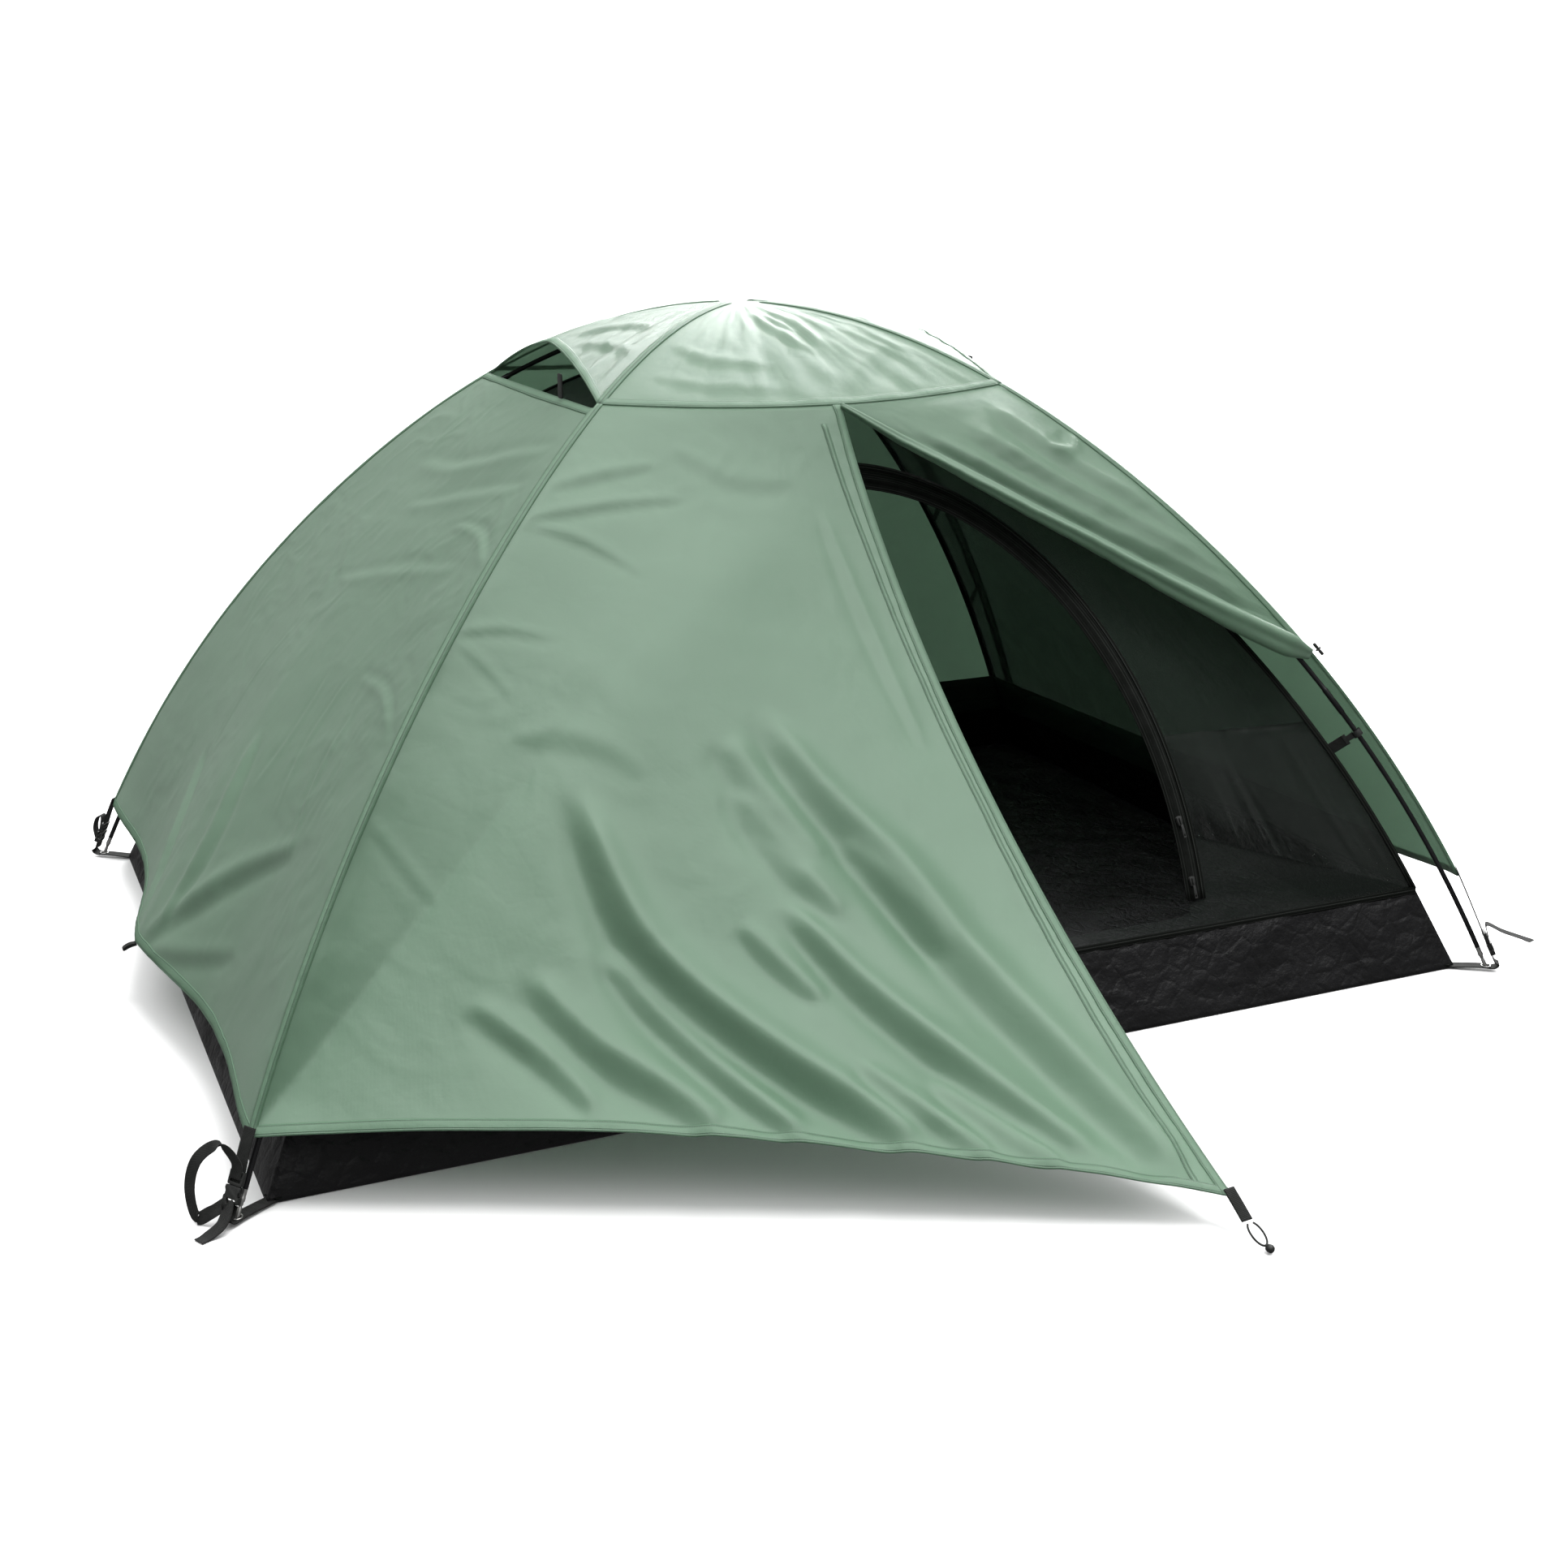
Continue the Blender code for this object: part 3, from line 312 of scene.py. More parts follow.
def metres(points):
    """Each point's distance along its row and down its column."""
    across = np.zeros(points.shape[:2])
    down = np.zeros(points.shape[:2])
    across[:, 1:] = np.cumsum(np.linalg.norm(np.diff(points, axis=1), axis=-1), axis=1)
    down[1:] = np.cumsum(np.linalg.norm(np.diff(points, axis=0), axis=-1), axis=0)
    return across, down


def normals_of(points, outward):
    """Unit normals of a grid on the side of the direction outward."""
    normal = unit(np.cross(np.gradient(points, axis=0), np.gradient(points, axis=1)))
    flip = np.where((normal @ np.asarray(outward, float)) < 0, -1.0, 1.0)
    return normal * flip[..., None]


def thicken(made, thickness):
    """Give a sheet its thickness, as part of its mesh."""
    modifier = made.modifiers.new("thickness", "SOLIDIFY")
    modifier.thickness = thickness
    modifier.offset = 0.0
    graph = bpy.context.evaluated_depsgraph_get()
    solid = bpy.data.meshes.new_from_object(made.evaluated_get(graph))
    made.modifiers.clear()
    old = made.data
    made.data = solid
    bpy.data.meshes.remove(old)
    return made


def cut_size(points):
    """A sheet's flat width, length and area, measured on its plain grid."""
    across, down = metres(points)
    first = np.cross(points[1:, :-1] - points[:-1, :-1], points[:-1, 1:] - points[:-1, :-1])
    second = np.cross(points[1:, :-1] - points[1:, 1:], points[:-1, 1:] - points[1:, 1:])
    area = (np.linalg.norm(first, axis=-1) + np.linalg.norm(second, axis=-1)).sum() / 2
    width = across[:, -1].max()
    length = down[-1].max()
    return width, length, min(area, width * length)


def closed_area(points):
    """The area of a closed grid, ring by ring."""
    return cut_size(np.concatenate((points, points[:, :1]), axis=1))[2]


def cloth(name, points, look, thickness, plain=None):
    """A sheet of cloth over a grid of points; plain is the grid unwrinkled."""
    made = new_object(name, grid_mesh(name, points), look)
    thicken(made, thickness)
    width, length, area = cut_size(points if plain is None else plain)
    return made


def ribbon(name, curves, look, body="tent", thickness=0.001):
    """A narrow strip lofted over curves that lie side by side."""
    points = np.stack([np.asarray(curve, float) for curve in curves], axis=1)
    return thicken(new_object(name, grid_mesh(name, points), look, body), thickness)


def fly_band(name, curves, look):
    """A strip sewn on the fly, in its own cloth."""
    return ribbon(name, curves, look, thickness=FLY_THICK)


# ---- wrinkles and folds ------------------------------------------------------------
WAVE_LEAN = 0.5                # radians the slack waves lean across a panel


def smooth_line(controls, count=40):
    """A Catmull-Rom curve through given points."""
    points = np.asarray(controls, float)
    if len(points) == 2:
        return mix(points[0], points[1], shares(count))
    padded = np.vstack((2 * points[0] - points[1], points, 2 * points[-1] - points[-2]))
    place = np.linspace(0, len(points) - 1 - 1e-6, count)
    start = place.astype(int)
    t = (place - start)[:, None]
    a, b, c, d = (padded[start + step] for step in range(4))
    return 0.5 * (
        2 * b + (c - a) * t + (2 * a - 5 * b + 4 * c - d) * t ** 2
        + (3 * b - a - 3 * c + d) * t ** 3
    )


def fold(points, normals, surface, controls, width, depth):
    """Heights of one fold: a ridge to the line's left, a shallower trough to its right.

    controls are (share across, share down) pairs on the surface.
    """
    line = smooth_line(controls)
    spine = surface(line[:, 1], line[:, 0])
    best = np.full(points.shape[:2], 1e9)
    signed = np.zeros(points.shape[:2])
    place = np.zeros(points.shape[:2])
    for index in range(len(spine) - 1):
        step = spine[index + 1] - spine[index]
        offset = points - spine[index]
        part = np.clip(offset @ step / (step @ step), 0, 1)
        gap = offset - part[..., None] * step
        distance = np.linalg.norm(gap, axis=-1)
        nearer = distance < best
        side = np.sign((np.cross(step, gap) * normals).sum(-1))
        best = np.where(nearer, distance, best)
        signed = np.where(nearer, distance * side, signed)
        place = np.where(nearer, (index + part) / (len(spine) - 1), place)
    taper = np.clip(np.sin(math.pi * np.clip(place, 0.001, 0.999)), 0, 1) ** 0.7
    across = signed / (width * (0.55 + 0.45 * taper))
    ridge = np.exp(-((np.abs(across - 0.55) * 1.5) ** 1.7))
    dip = np.exp(-((np.abs(across + 0.55) * 1.5) ** 1.7))
    end = smooth(place, 0.0, 0.12) * smooth(1 - place, 0.0, 0.12)
    return depth * (ridge - 0.8 * dip) * (0.25 * end + 0.75 * taper * end)


def puckers(along, away, spacing, reach, height, seed):
    """Short wrinkles that run away from a stitched edge and die out."""
    waves = noise(along / spacing, away / (spacing * 5) + 3, seed)
    finer = noise(along / (spacing * 0.45), away / (spacing * 3) + 7, seed + 5)
    return height * (waves + 0.5 * finer) * np.exp(-away / reach)


def edge_distances(points):
    """Distances from a grid's first and last column, and first and last row."""
    across, down = metres(points)
    return across, across[:, -1:] - across, down, down[-1:] - down


def wrinkle_field(points, seed, swell, fine):
    """Slack waves and fine packing creases, in the cloth's own metres."""
    across, down = metres(points)
    turned_x = across * math.cos(WAVE_LEAN) + down * math.sin(WAVE_LEAN)
    turned_y = down * math.cos(WAVE_LEAN) - across * math.sin(WAVE_LEAN)
    slow = noise(turned_x / 0.34, turned_y / 0.14, seed)
    middle = noise(turned_x / 0.13, turned_y / 0.055, seed + 11)
    sharp = creases(turned_x / 0.11, turned_y / 0.06, seed + 21)
    small = creases(across / 0.05, down / 0.045, seed + 31)
    patch = smooth(noise(across / 0.3, down / 0.3, seed + 41), -0.5, 0.7)
    return swell * (slow + 0.45 * middle) + fine * (sharp + 0.6 * small) * (0.3 + patch)


def edge_curve(points, normals, side, inset, lift):
    """A line on a grid's cloth, a set distance in from one edge and lifted off it."""
    if side in ("first", "last"):
        points = points.swapaxes(0, 1)
        normals = normals.swapaxes(0, 1)
    if side in ("foot", "last"):
        points = points[::-1]
        normals = normals[::-1]
    _, down = metres(points)
    columns = points.shape[1]
    line = np.empty((columns, 3))
    insets = np.broadcast_to(inset, (columns,))
    for column in range(columns):
        at = np.interp(insets[column], down[:, column], np.arange(len(points)))
        low = min(int(at), len(points) - 2)
        spot = mix(points[low, column], points[low + 1, column], at - low)
        line[column] = spot + normals[low, column] * lift
    return line


def hem_band(name, made, side):
    """A folded and double-stitched hem along one edge of a panel."""
    steps = ((0.0, 1.0), (0.12, 2.2), (0.88, 2.2), (1.0, 1.1))
    curves = [
        edge_curve(made[0], made[1], side, HEM_WIDTH * at, FLY_THICK * lift) for at, lift in steps
    ]
    return fly_band(name, curves, "hem")


# ---- materials -----------------------------------------------------------------
FLY_LIGHT = (0.140, 0.250, 0.162)
FLY_DARK = (0.120, 0.225, 0.142)
FLY_GLOW = (0.48, 0.64, 0.52)
FLY_THREAD = (0.070, 0.130, 0.085)
FLY_SHARE = 0.30               # of the light that goes on through the fly
TRIM_LIGHT = (0.018, 0.019, 0.018)
TRIM_DARK = (0.007, 0.008, 0.007)
TAPE_DARK = (0.003, 0.004, 0.003)
WAVE_SCALE = 0.314             # over a spacing in metres, it gives a wave texture's scale


class Look:
    """A material being made: its node tree, its shader and its coordinates."""

    def __init__(self, name, roughness, **sockets):
        self.material = bpy.data.materials.new(name)
        self.material.use_nodes = True
        self.tree = self.material.node_tree
        self.shader = self.tree.nodes["Principled BSDF"]
        self.shader.inputs["Roughness"].default_value = roughness
        for socket, value in sockets.items():
            self.shader.inputs[socket.replace("_", " ")].default_value = value
        place = node(self.tree, "TexCoord")
        self.around = place.outputs["Object"]
        self.flat = place.outputs["UV"]

    def noise(self, scale, detail, roughness=0.5):
        inputs = {"Vector": self.around, "Scale": scale, "Detail": detail, "Roughness": roughness}
        return node(self.tree, "TexNoise", inputs).outputs["Fac"]

    def cells(self, scale, feature="DISTANCE_TO_EDGE"):
        inputs = {"Vector": self.around, "Scale": scale}
        return node(self.tree, "TexVoronoi", inputs, feature=feature).outputs["Distance"]

    def wave(self, vector, spacing, distortion, direction):
        inputs = {"Vector": vector, "Scale": WAVE_SCALE / spacing, "Distortion": distortion}
        return node(self.tree, "TexWave", inputs, bands_direction=direction).outputs["Fac"]

    def ranged(self, value, low, high, to_low=0.0, to_high=1.0):
        inputs = {
            "Value": value, "From Min": low, "From Max": high, "To Min": to_low, "To Max": to_high
        }
        return node(self.tree, "MapRange", inputs).outputs["Result"]

    def maths(self, operation, first, second=0.0, third=0.0):
        inputs = {0: first, 1: second, 2: third}
        return node(self.tree, "Math", inputs, operation=operation).outputs[0]

    def blend(self, share, first, second):
        inputs = {0: share, 6: first, 7: (*second, 1.0)}
        return node(self.tree, "Mix", inputs, data_type="RGBA").outputs[2]

    def two_tone(self, dark, light, scale):
        """A soft irregular mix of two colours."""
        share = self.ranged(self.noise(scale, 5.0), 0.3, 0.7)
        return self.blend(share, (*dark, 1.0), light)

    def bump(self, height, distance, before=None):
        inputs = {"Height": height, "Distance": distance, "Strength": 1.0}
        if before is not None:
            inputs["Normal"] = before
        return node(self.tree, "Bump", inputs).outputs["Normal"]

    def weave(self, thread, distance, before):
        """A plain weave of that thread spacing, as a bump over the one before."""
        ways = [self.wave(self.flat, thread, 0.4, way) for way in "XY"]
        return self.bump(self.maths("ADD", *ways), distance, before)

    def done(self, colour, facing=None, roughness=None, through=0.0):
        """Link what was made to the shader and mix in some translucency."""
        links = {"Base Color": colour, "Normal": facing, "Roughness": roughness}
        for socket, value in links.items():
            if value is not None:
                self.tree.links.new(value, self.shader.inputs[socket])
        if through > 0:
            glow = node(self.tree, "BsdfTranslucent", {"Color": (*FLY_GLOW, 1.0), "Normal": facing})
            inputs = {0: through, 1: self.shader.outputs[0], 2: glow.outputs[0]}
            surface = self.tree.nodes["Material Output"].inputs["Surface"]
            self.tree.links.new(node(self.tree, "MixShader", inputs).outputs[0], surface)
        return self.material


def node(tree, kind, inputs=(), **settings):
    """A shader node; inputs maps a socket to a value or to another node's output."""
    made = tree.nodes.new("ShaderNode" + kind)
    for name, value in settings.items():
        setattr(made, name, value)
    for socket, value in dict(inputs).items():
        if isinstance(value, bpy.types.NodeSocket):
            tree.links.new(value, made.inputs[socket])
        else:
            made.inputs[socket].default_value = value
    return made


def fly_look(name):
    """Woven cloth: colour drift, threads, a weave, packing creases, some light through."""
    look = Look(name, 0.42, Sheen_Weight=0.20, Sheen_Roughness=0.45, Specular_IOR_Level=1.0)
    colour = look.two_tone(FLY_DARK, FLY_LIGHT, 2.2)
    speckle = look.maths("MULTIPLY", look.noise(420.0, 2.0), 0.16)
    colour = look.blend(speckle, colour, FLY_DARK)
    sharp = look.maths("SMOOTH_MIN", look.cells(17.0), 0.12, 0.05)
    packed = look.maths("MULTIPLY_ADD", look.noise(30.0, 6.0, 0.6), 0.8, sharp)
    facing = look.weave(0.0011, 0.00011, look.bump(packed, 0.0008))
    return look.done(colour, facing, through=FLY_SHARE)


def netting_look(name, dark, light, solid):
    """Fine insect netting: dark threads that let part of what is behind them show."""
    look = Look(
        name, 0.75, Sheen_Weight=0.15, Sheen_Roughness=0.5, Specular_IOR_Level=0.2, Alpha=solid
    )
    slack = look.bump(look.noise(24.0, 5.0), 0.002)
    return look.done(look.two_tone(dark, light, 3.0), look.weave(0.0012, 0.0002, slack))


def stitched_look(name, dark, light, thread, rows, gloss=0.15, pucker=0.0005, through=0.0):
    """A narrow strip's cloth with rows of stitches, each at its distance across."""
    look = Look(name, 0.5, Specular_IOR_Level=gloss)
    split = node(look.tree, "SeparateXYZ", {0: look.flat})
    nearest = None
    for row in rows:
        gap = look.maths("ABSOLUTE", look.maths("SUBTRACT", split.outputs[0], row))
        nearest = gap if nearest is None else look.maths("MINIMUM", nearest, gap)
    line = look.ranged(nearest, 0.0005, 0.0011, 1.0, 0.0)
    wave = look.maths("SINE", look.maths("MULTIPLY", split.outputs[1], 2 * math.pi / 0.0034))
    stitch = look.maths("MULTIPLY", line, look.ranged(wave, -0.75, -0.35))
    colour = look.two_tone(dark, light, 9.0)
    colour = look.blend(look.maths("MULTIPLY", line, 0.35), colour, thread)
    colour = look.blend(stitch, colour, thread)
    facing = look.bump(look.noise(90.0, 3.0), pucker)
    facing = look.bump(look.maths("MULTIPLY", line, -1.0), 0.0006, facing)
    return look.done(colour, look.weave(0.0011, 0.0001, facing), through=through)


def fly_seam_look(name, rows):
    return stitched_look(name, FLY_DARK, FLY_LIGHT, FLY_THREAD, rows, 0.85, 0.0012, FLY_SHARE)


def coated_look(name, dark, light, gloss):
    """The waterproof floor: near-black coated cloth, crinkled, with a dull gloss."""
    look = Look(name, 0.42, Specular_IOR_Level=gloss)
    folds = look.noise(11.0, 7.0, 0.62)
    sharp = look.maths("SMOOTH_MIN", look.cells(28.0), 0.15, 0.06)
    facing = look.bump(sharp, 0.006, look.bump(folds, 0.012))
    facing = look.bump(look.noise(700.0, 1.0), 0.0002, facing)
    dull = look.ranged(folds, 0.3, 0.7, 0.30, 0.52)
    return look.done(look.two_tone(dark, light, 5.0), facing, dull)


def webbing_look(name):
    """Woven nylon tape: ribs across and a fine twill."""
    look = Look(name, 0.8, Sheen_Weight=0.08, Sheen_Roughness=0.5, Specular_IOR_Level=0.15)
    ribs = look.wave(look.flat, 0.0016, 0.8, "Y")
    twill = look.wave(look.flat, 0.0022, 0.5, "DIAGONAL")
    height = look.maths("MULTIPLY_ADD", ribs, 0.6, twill)
    colour = look.two_tone(TRIM_DARK, TRIM_LIGHT, 60.0)
    colour = look.blend(look.maths("MULTIPLY", ribs, 0.3), colour, TRIM_DARK)
    return look.done(colour, look.bump(height, 0.0003))


def zip_look(name):
    """Zip tape: a ribbed coil down its middle, and stitched sides."""
    look = Look(name, 0.7, Specular_IOR_Level=0.06)
    split = node(look.tree, "SeparateXYZ", {0: look.flat})
    middle = look.maths("ABSOLUTE", look.maths("SUBTRACT", split.outputs[0], 0.015))
    on_coil = look.maths("LESS_THAN", middle, 0.0035)
    teeth = look.maths("SINE", look.maths("MULTIPLY", split.outputs[1], 2 * math.pi / 0.0015))
    rows = look.maths("SINE", look.maths("MULTIPLY", split.outputs[0], 2 * math.pi / 0.0052))
    seams = look.maths("GREATER_THAN", rows, 0.86)
    seams = look.maths("MULTIPLY", seams, look.maths("SUBTRACT", 1.0, on_coil))
    colour = look.two_tone(TAPE_DARK, TRIM_DARK, 40.0)
    colour = look.blend(look.maths("MULTIPLY", seams, 0.35), colour, (0.07, 0.075, 0.07))
    height = look.maths("MULTIPLY_ADD", look.maths("MULTIPLY", teeth, 0.3), on_coil, on_coil)
    return look.done(colour, look.bump(height, 0.0009))


def hard_look(name, tones, tone_scale, grain, grain_depth, scuffs, worn, roughness, metallic=0.0):
    """Moulded plastic or drawn metal, with a fine grain and small scuffs."""
    look = Look(name, roughness, Metallic=metallic, Specular_IOR_Level=0.5)
    dull = look.ranged(look.noise(*scuffs), worn[0], 0.75, roughness, roughness + worn[1])
    facing = look.bump(look.noise(*grain), grain_depth)
    return look.done(look.two_tone(*tones, tone_scale), facing, dull)


def metal_look(name, dark, light, roughness, metallic):
    scuffs = (60.0, 8.0, 0.7)
    return hard_look(
        name, (dark, light), 35.0, (900.0, 3.0), 0.00005, scuffs, (0.4, 0.2), roughness, metallic
    )


def cord_look(name):
    """Braided elastic cord: crossed strands with a few grey tracers."""
    look = Look(name, 0.7, Sheen_Weight=0.1, Specular_IOR_Level=0.2)
    strands = look.wave(look.around, 0.0016, 1.0, "DIAGONAL")
    flecks = look.maths("MULTIPLY", look.maths("GREATER_THAN", strands, 0.9), 0.4)
    colour = look.blend(flecks, look.two_tone(TRIM_DARK, TRIM_LIGHT, 200.0), (0.12, 0.12, 0.12))
    height = look.maths("ADD", strands, look.cells(900.0, "F1"))
    return look.done(colour, look.bump(height, 0.0003))


def floor_look(name):
    look = Look(name, 0.85, Specular_IOR_Level=0.2)
    return look.done(look.two_tone((0.90, 0.90, 0.90), (0.92, 0.92, 0.92), 1.2))


LOOKS = {
    "fly": fly_look("fly_cloth"),
    "seam": fly_seam_look("fly_seam", (0.0045, 0.0125)),
    "hem": fly_seam_look("fly_hem", (0.0032, 0.0145)),
    "zip_seam": fly_seam_look("fly_zip_seam", (0.0025, 0.0085)),
    "netting": netting_look("inner_netting", (0.010, 0.018, 0.013), (0.016, 0.026, 0.019), 0.18),
    "dense_netting": netting_look(
        "dense_netting", (0.014, 0.026, 0.018), (0.022, 0.036, 0.027), 0.70
    ),
    "binding": stitched_look(
        "inner_binding", TAPE_DARK, TRIM_DARK, (0.03, 0.033, 0.03), (0.003, 0.009), 0.06
    ),
    "skirt": stitched_look(
        "inner_skirt", (0.030, 0.050, 0.036), (0.040, 0.064, 0.048), (0.02, 0.03, 0.02),
        (0.004, 0.040),
    ),
    "floor": coated_look("bathtub_cloth", (0.004, 0.004, 0.0045), (0.009, 0.009, 0.0095), 0.22),
    # painted light: the floor inside is the bathtub's near-black coated cloth, painted lighter to stand in
    # for light in the tent's shade
    "ground": coated_look("floor_cloth_painted_light", (0.045, 0.045, 0.046), (0.085, 0.085, 0.087), 0.35),
    "webbing": webbing_look("webbing_weave"),
    "zip": zip_look("zip_tape_coil"),
    "plastic": hard_look(
        "moulded_plastic", (TRIM_DARK, TRIM_LIGHT), 130.0, (2600.0, 2.0), 0.00006,
        (240.0, 6.0, 0.7), (0.45, 0.25), 0.42,
    ),
    "pole": metal_look("anodised_pole", (0.012, 0.012, 0.013), (0.022, 0.022, 0.024), 0.28, 0.6),
    "tip": metal_look("turned_tip", (0.40, 0.40, 0.39), (0.52, 0.52, 0.50), 0.34, 1.0),
    "cord": cord_look("braided_cord"),
    "studio": floor_look("studio_floor"),
}


# ---- the fly ---------------------------------------------------------------------
# Folds are listed as (share across, share down) points, width, depth. A fold's
# ridge lies to the left of its line, seen from outside.
FRONT_LEFT_FOLDS = (
    (((0.27, 0.60), (0.35, 0.71), (0.41, 0.78), (0.53, 0.88), (0.64, 0.96), (0.69, 1.0)), 0.046, 0.0125),
    (((0.35, 0.78), (0.43, 0.86), (0.52, 0.95), (0.57, 1.0)), 0.032, 0.0085),
    (((0.26, 0.82), (0.35, 0.90), (0.44, 0.96), (0.48, 1.0)), 0.040, 0.0075),
    (((0.20, 0.86), (0.30, 0.92), (0.36, 0.98)), 0.030, 0.0050),
    (
        ((0.57, 0.44), (0.66, 0.54), (0.76, 0.63), (0.82, 0.74), (0.88, 0.84), (0.93, 0.94), (0.95, 1.0)),
        0.050, 0.0105,
    ),
    (((0.59, 0.69), (0.68, 0.80), (0.79, 0.91), (0.88, 0.99)), 0.036, 0.0085),
    (((0.53, 0.73), (0.58, 0.78), (0.63, 0.82)), 0.028, 0.0045),
    (((0.64, 0.89), (0.71, 0.96), (0.76, 1.0)), 0.026, 0.0055),
    (((0.72, 0.90), (0.79, 0.97), (0.83, 1.0)), 0.026, 0.0050),
    (((0.52, 0.56), (0.61, 0.65), (0.68, 0.71)), 0.034, 0.0045),
    (((0.69, 0.60), (0.76, 0.67), (0.81, 0.74)), 0.032, 0.0045),
    (((0.50, 0.50), (0.59, 0.58), (0.66, 0.64)), 0.044, 0.0050),
    (((0.00, 0.27), (0.10, 0.235), (0.24, 0.20), (0.42, 0.17)), 0.016, 0.0018),
    (((0.00, 0.275), (0.09, 0.27), (0.20, 0.28), (0.34, 0.31)), 0.015, 0.0015),
    (((0.02, 0.20), (0.14, 0.16), (0.30, 0.12)), 0.018, 0.0018),
    (((0.00, 0.46), (0.08, 0.43), (0.19, 0.42)), 0.013, 0.0012),
    (((0.00, 0.465), (0.07, 0.48), (0.15, 0.51)), 0.012, 0.0009),
    (((0.00, 0.70), (0.07, 0.72), (0.15, 0.75)), 0.014, 0.0010),
    (((0.30, 0.09), (0.52, 0.13), (0.74, 0.11)), 0.026, 0.0014),
    (((0.80, 0.14), (0.86, 0.30), (0.90, 0.46)), 0.020, 0.0016),
    (((0.16, 0.56), (0.28, 0.55), (0.40, 0.58)), 0.030, 0.0012),
)
END_FOLDS = (
    (((0.49, 1.0), (0.40, 0.93), (0.30, 0.86), (0.17, 0.79)), 0.030, 0.0042),
    (((0.47, 1.0), (0.35, 0.97), (0.24, 0.93)), 0.022, 0.0024),
    (((0.52, 1.0), (0.60, 0.90), (0.70, 0.82)), 0.030, 0.0036),
    (((0.45, 0.97), (0.43, 0.86), (0.46, 0.72)), 0.028, 0.0040),
    (((0.02, 0.61), (0.12, 0.57), (0.26, 0.58)), 0.014, 0.0012),
    (((0.02, 0.34), (0.12, 0.30), (0.27, 0.31)), 0.014, 0.0014),
    (((0.04, 0.10), (0.26, 0.15), (0.52, 0.22), (0.74, 0.24)), 0.026, 0.0018),
    (((0.06, 0.19), (0.30, 0.25), (0.58, 0.33)), 0.024, 0.0016),
    (((0.10, 0.36), (0.36, 0.42), (0.62, 0.50)), 0.022, 0.0012),
    (((0.20, 0.62), (0.22, 0.72), (0.20, 0.82)), 0.012, 0.0014),
    (((0.28, 0.58), (0.31, 0.69), (0.30, 0.80)), 0.010, 0.0012),
    (((0.36, 0.60), (0.37, 0.70), (0.40, 0.79)), 0.011, 0.0012),
    (((0.62, 0.58), (0.66, 0.70), (0.66, 0.84)), 0.012, 0.0012),
)
FRONT_RIGHT_FOLDS = (
    (((0.92, 0.10), (0.88, 0.45), (0.60, 0.85)), 0.026, 0.0060),
    (((0.62, 0.12), (0.60, 0.45), (0.40, 0.78)), 0.032, 0.0050),
    (((0.30, 0.06), (0.34, 0.34), (0.20, 0.62)), 0.030, 0.0035),
    (((0.02, 0.22), (0.16, 0.26), (0.30, 0.24)), 0.018, 0.0030),
)
BACK_FOLDS = (
    (((0.50, 1.0), (0.40, 0.88), (0.27, 0.78)), 0.034, 0.0042),
    (((0.50, 1.0), (0.60, 0.88), (0.74, 0.76)), 0.034, 0.0038),
    (((0.49, 0.98), (0.50, 0.84), (0.47, 0.66)), 0.026, 0.0024),
    (((0.00, 0.48), (0.14, 0.45), (0.30, 0.47)), 0.018, 0.0018),
    (((1.00, 0.42), (0.86, 0.40), (0.70, 0.43)), 0.018, 0.0018),
    (((0.15, 0.14), (0.45, 0.19), (0.80, 0.16)), 0.034, 0.0020),
)
# The roof's points are (share across a side, share out from the crossing).
ROOF_FOLDS = {
    "front": (
        (((0.40, 0.30), (0.47, 0.50), (0.58, 0.72)), 0.016, 0.0030),
        (((0.58, 0.28), (0.62, 0.46), (0.60, 0.66)), 0.014, 0.0028),
        (((0.50, 0.34), (0.53, 0.44), (0.60, 0.54)), 0.010, 0.0024),
        (((0.05, 0.62), (0.22, 0.74), (0.44, 0.78)), 0.022, 0.0022),
        (((0.56, 0.98), (0.70, 0.82), (0.90, 0.66)), 0.022, 0.0026),
        (((0.06, 0.84), (0.24, 0.90), (0.46, 0.92)), 0.018, 0.0018),
    ),
    "right": (
        (((0.10, 0.50), (0.30, 0.66), (0.48, 0.90)), 0.020, 0.0030),
        (((0.90, 0.50), (0.70, 0.64), (0.52, 0.88)), 0.020, 0.0030),
    ),
    "back": (
        (((0.10, 0.60), (0.34, 0.78), (0.52, 0.80)), 0.022, 0.0024),
        (((0.88, 0.56), (0.68, 0.76), (0.48, 0.94)), 0.022, 0.0024),
    ),
    "left": (
        (((0.52, 0.92), (0.64, 0.68), (0.86, 0.52)), 0.018, 0.0034),
        (((0.62, 0.94), (0.78, 0.80), (0.95, 0.74)), 0.016, 0.0028),
        (((0.46, 0.90), (0.34, 0.66), (0.12, 0.50)), 0.018, 0.0028),
    ),
}
PANEL_ROWS = 150
FOLD_DEPTH = 2.0               # the panels' folds are this much deeper than listed
ROLL_TURNS = 3.4
ROLL_STEPS = 150
ROLL_START = 0.0035            # the roll's radius under the roof
ROOF_RINGS = 44
ROOF_STEPS = 64                # columns on each of the roof's four sides


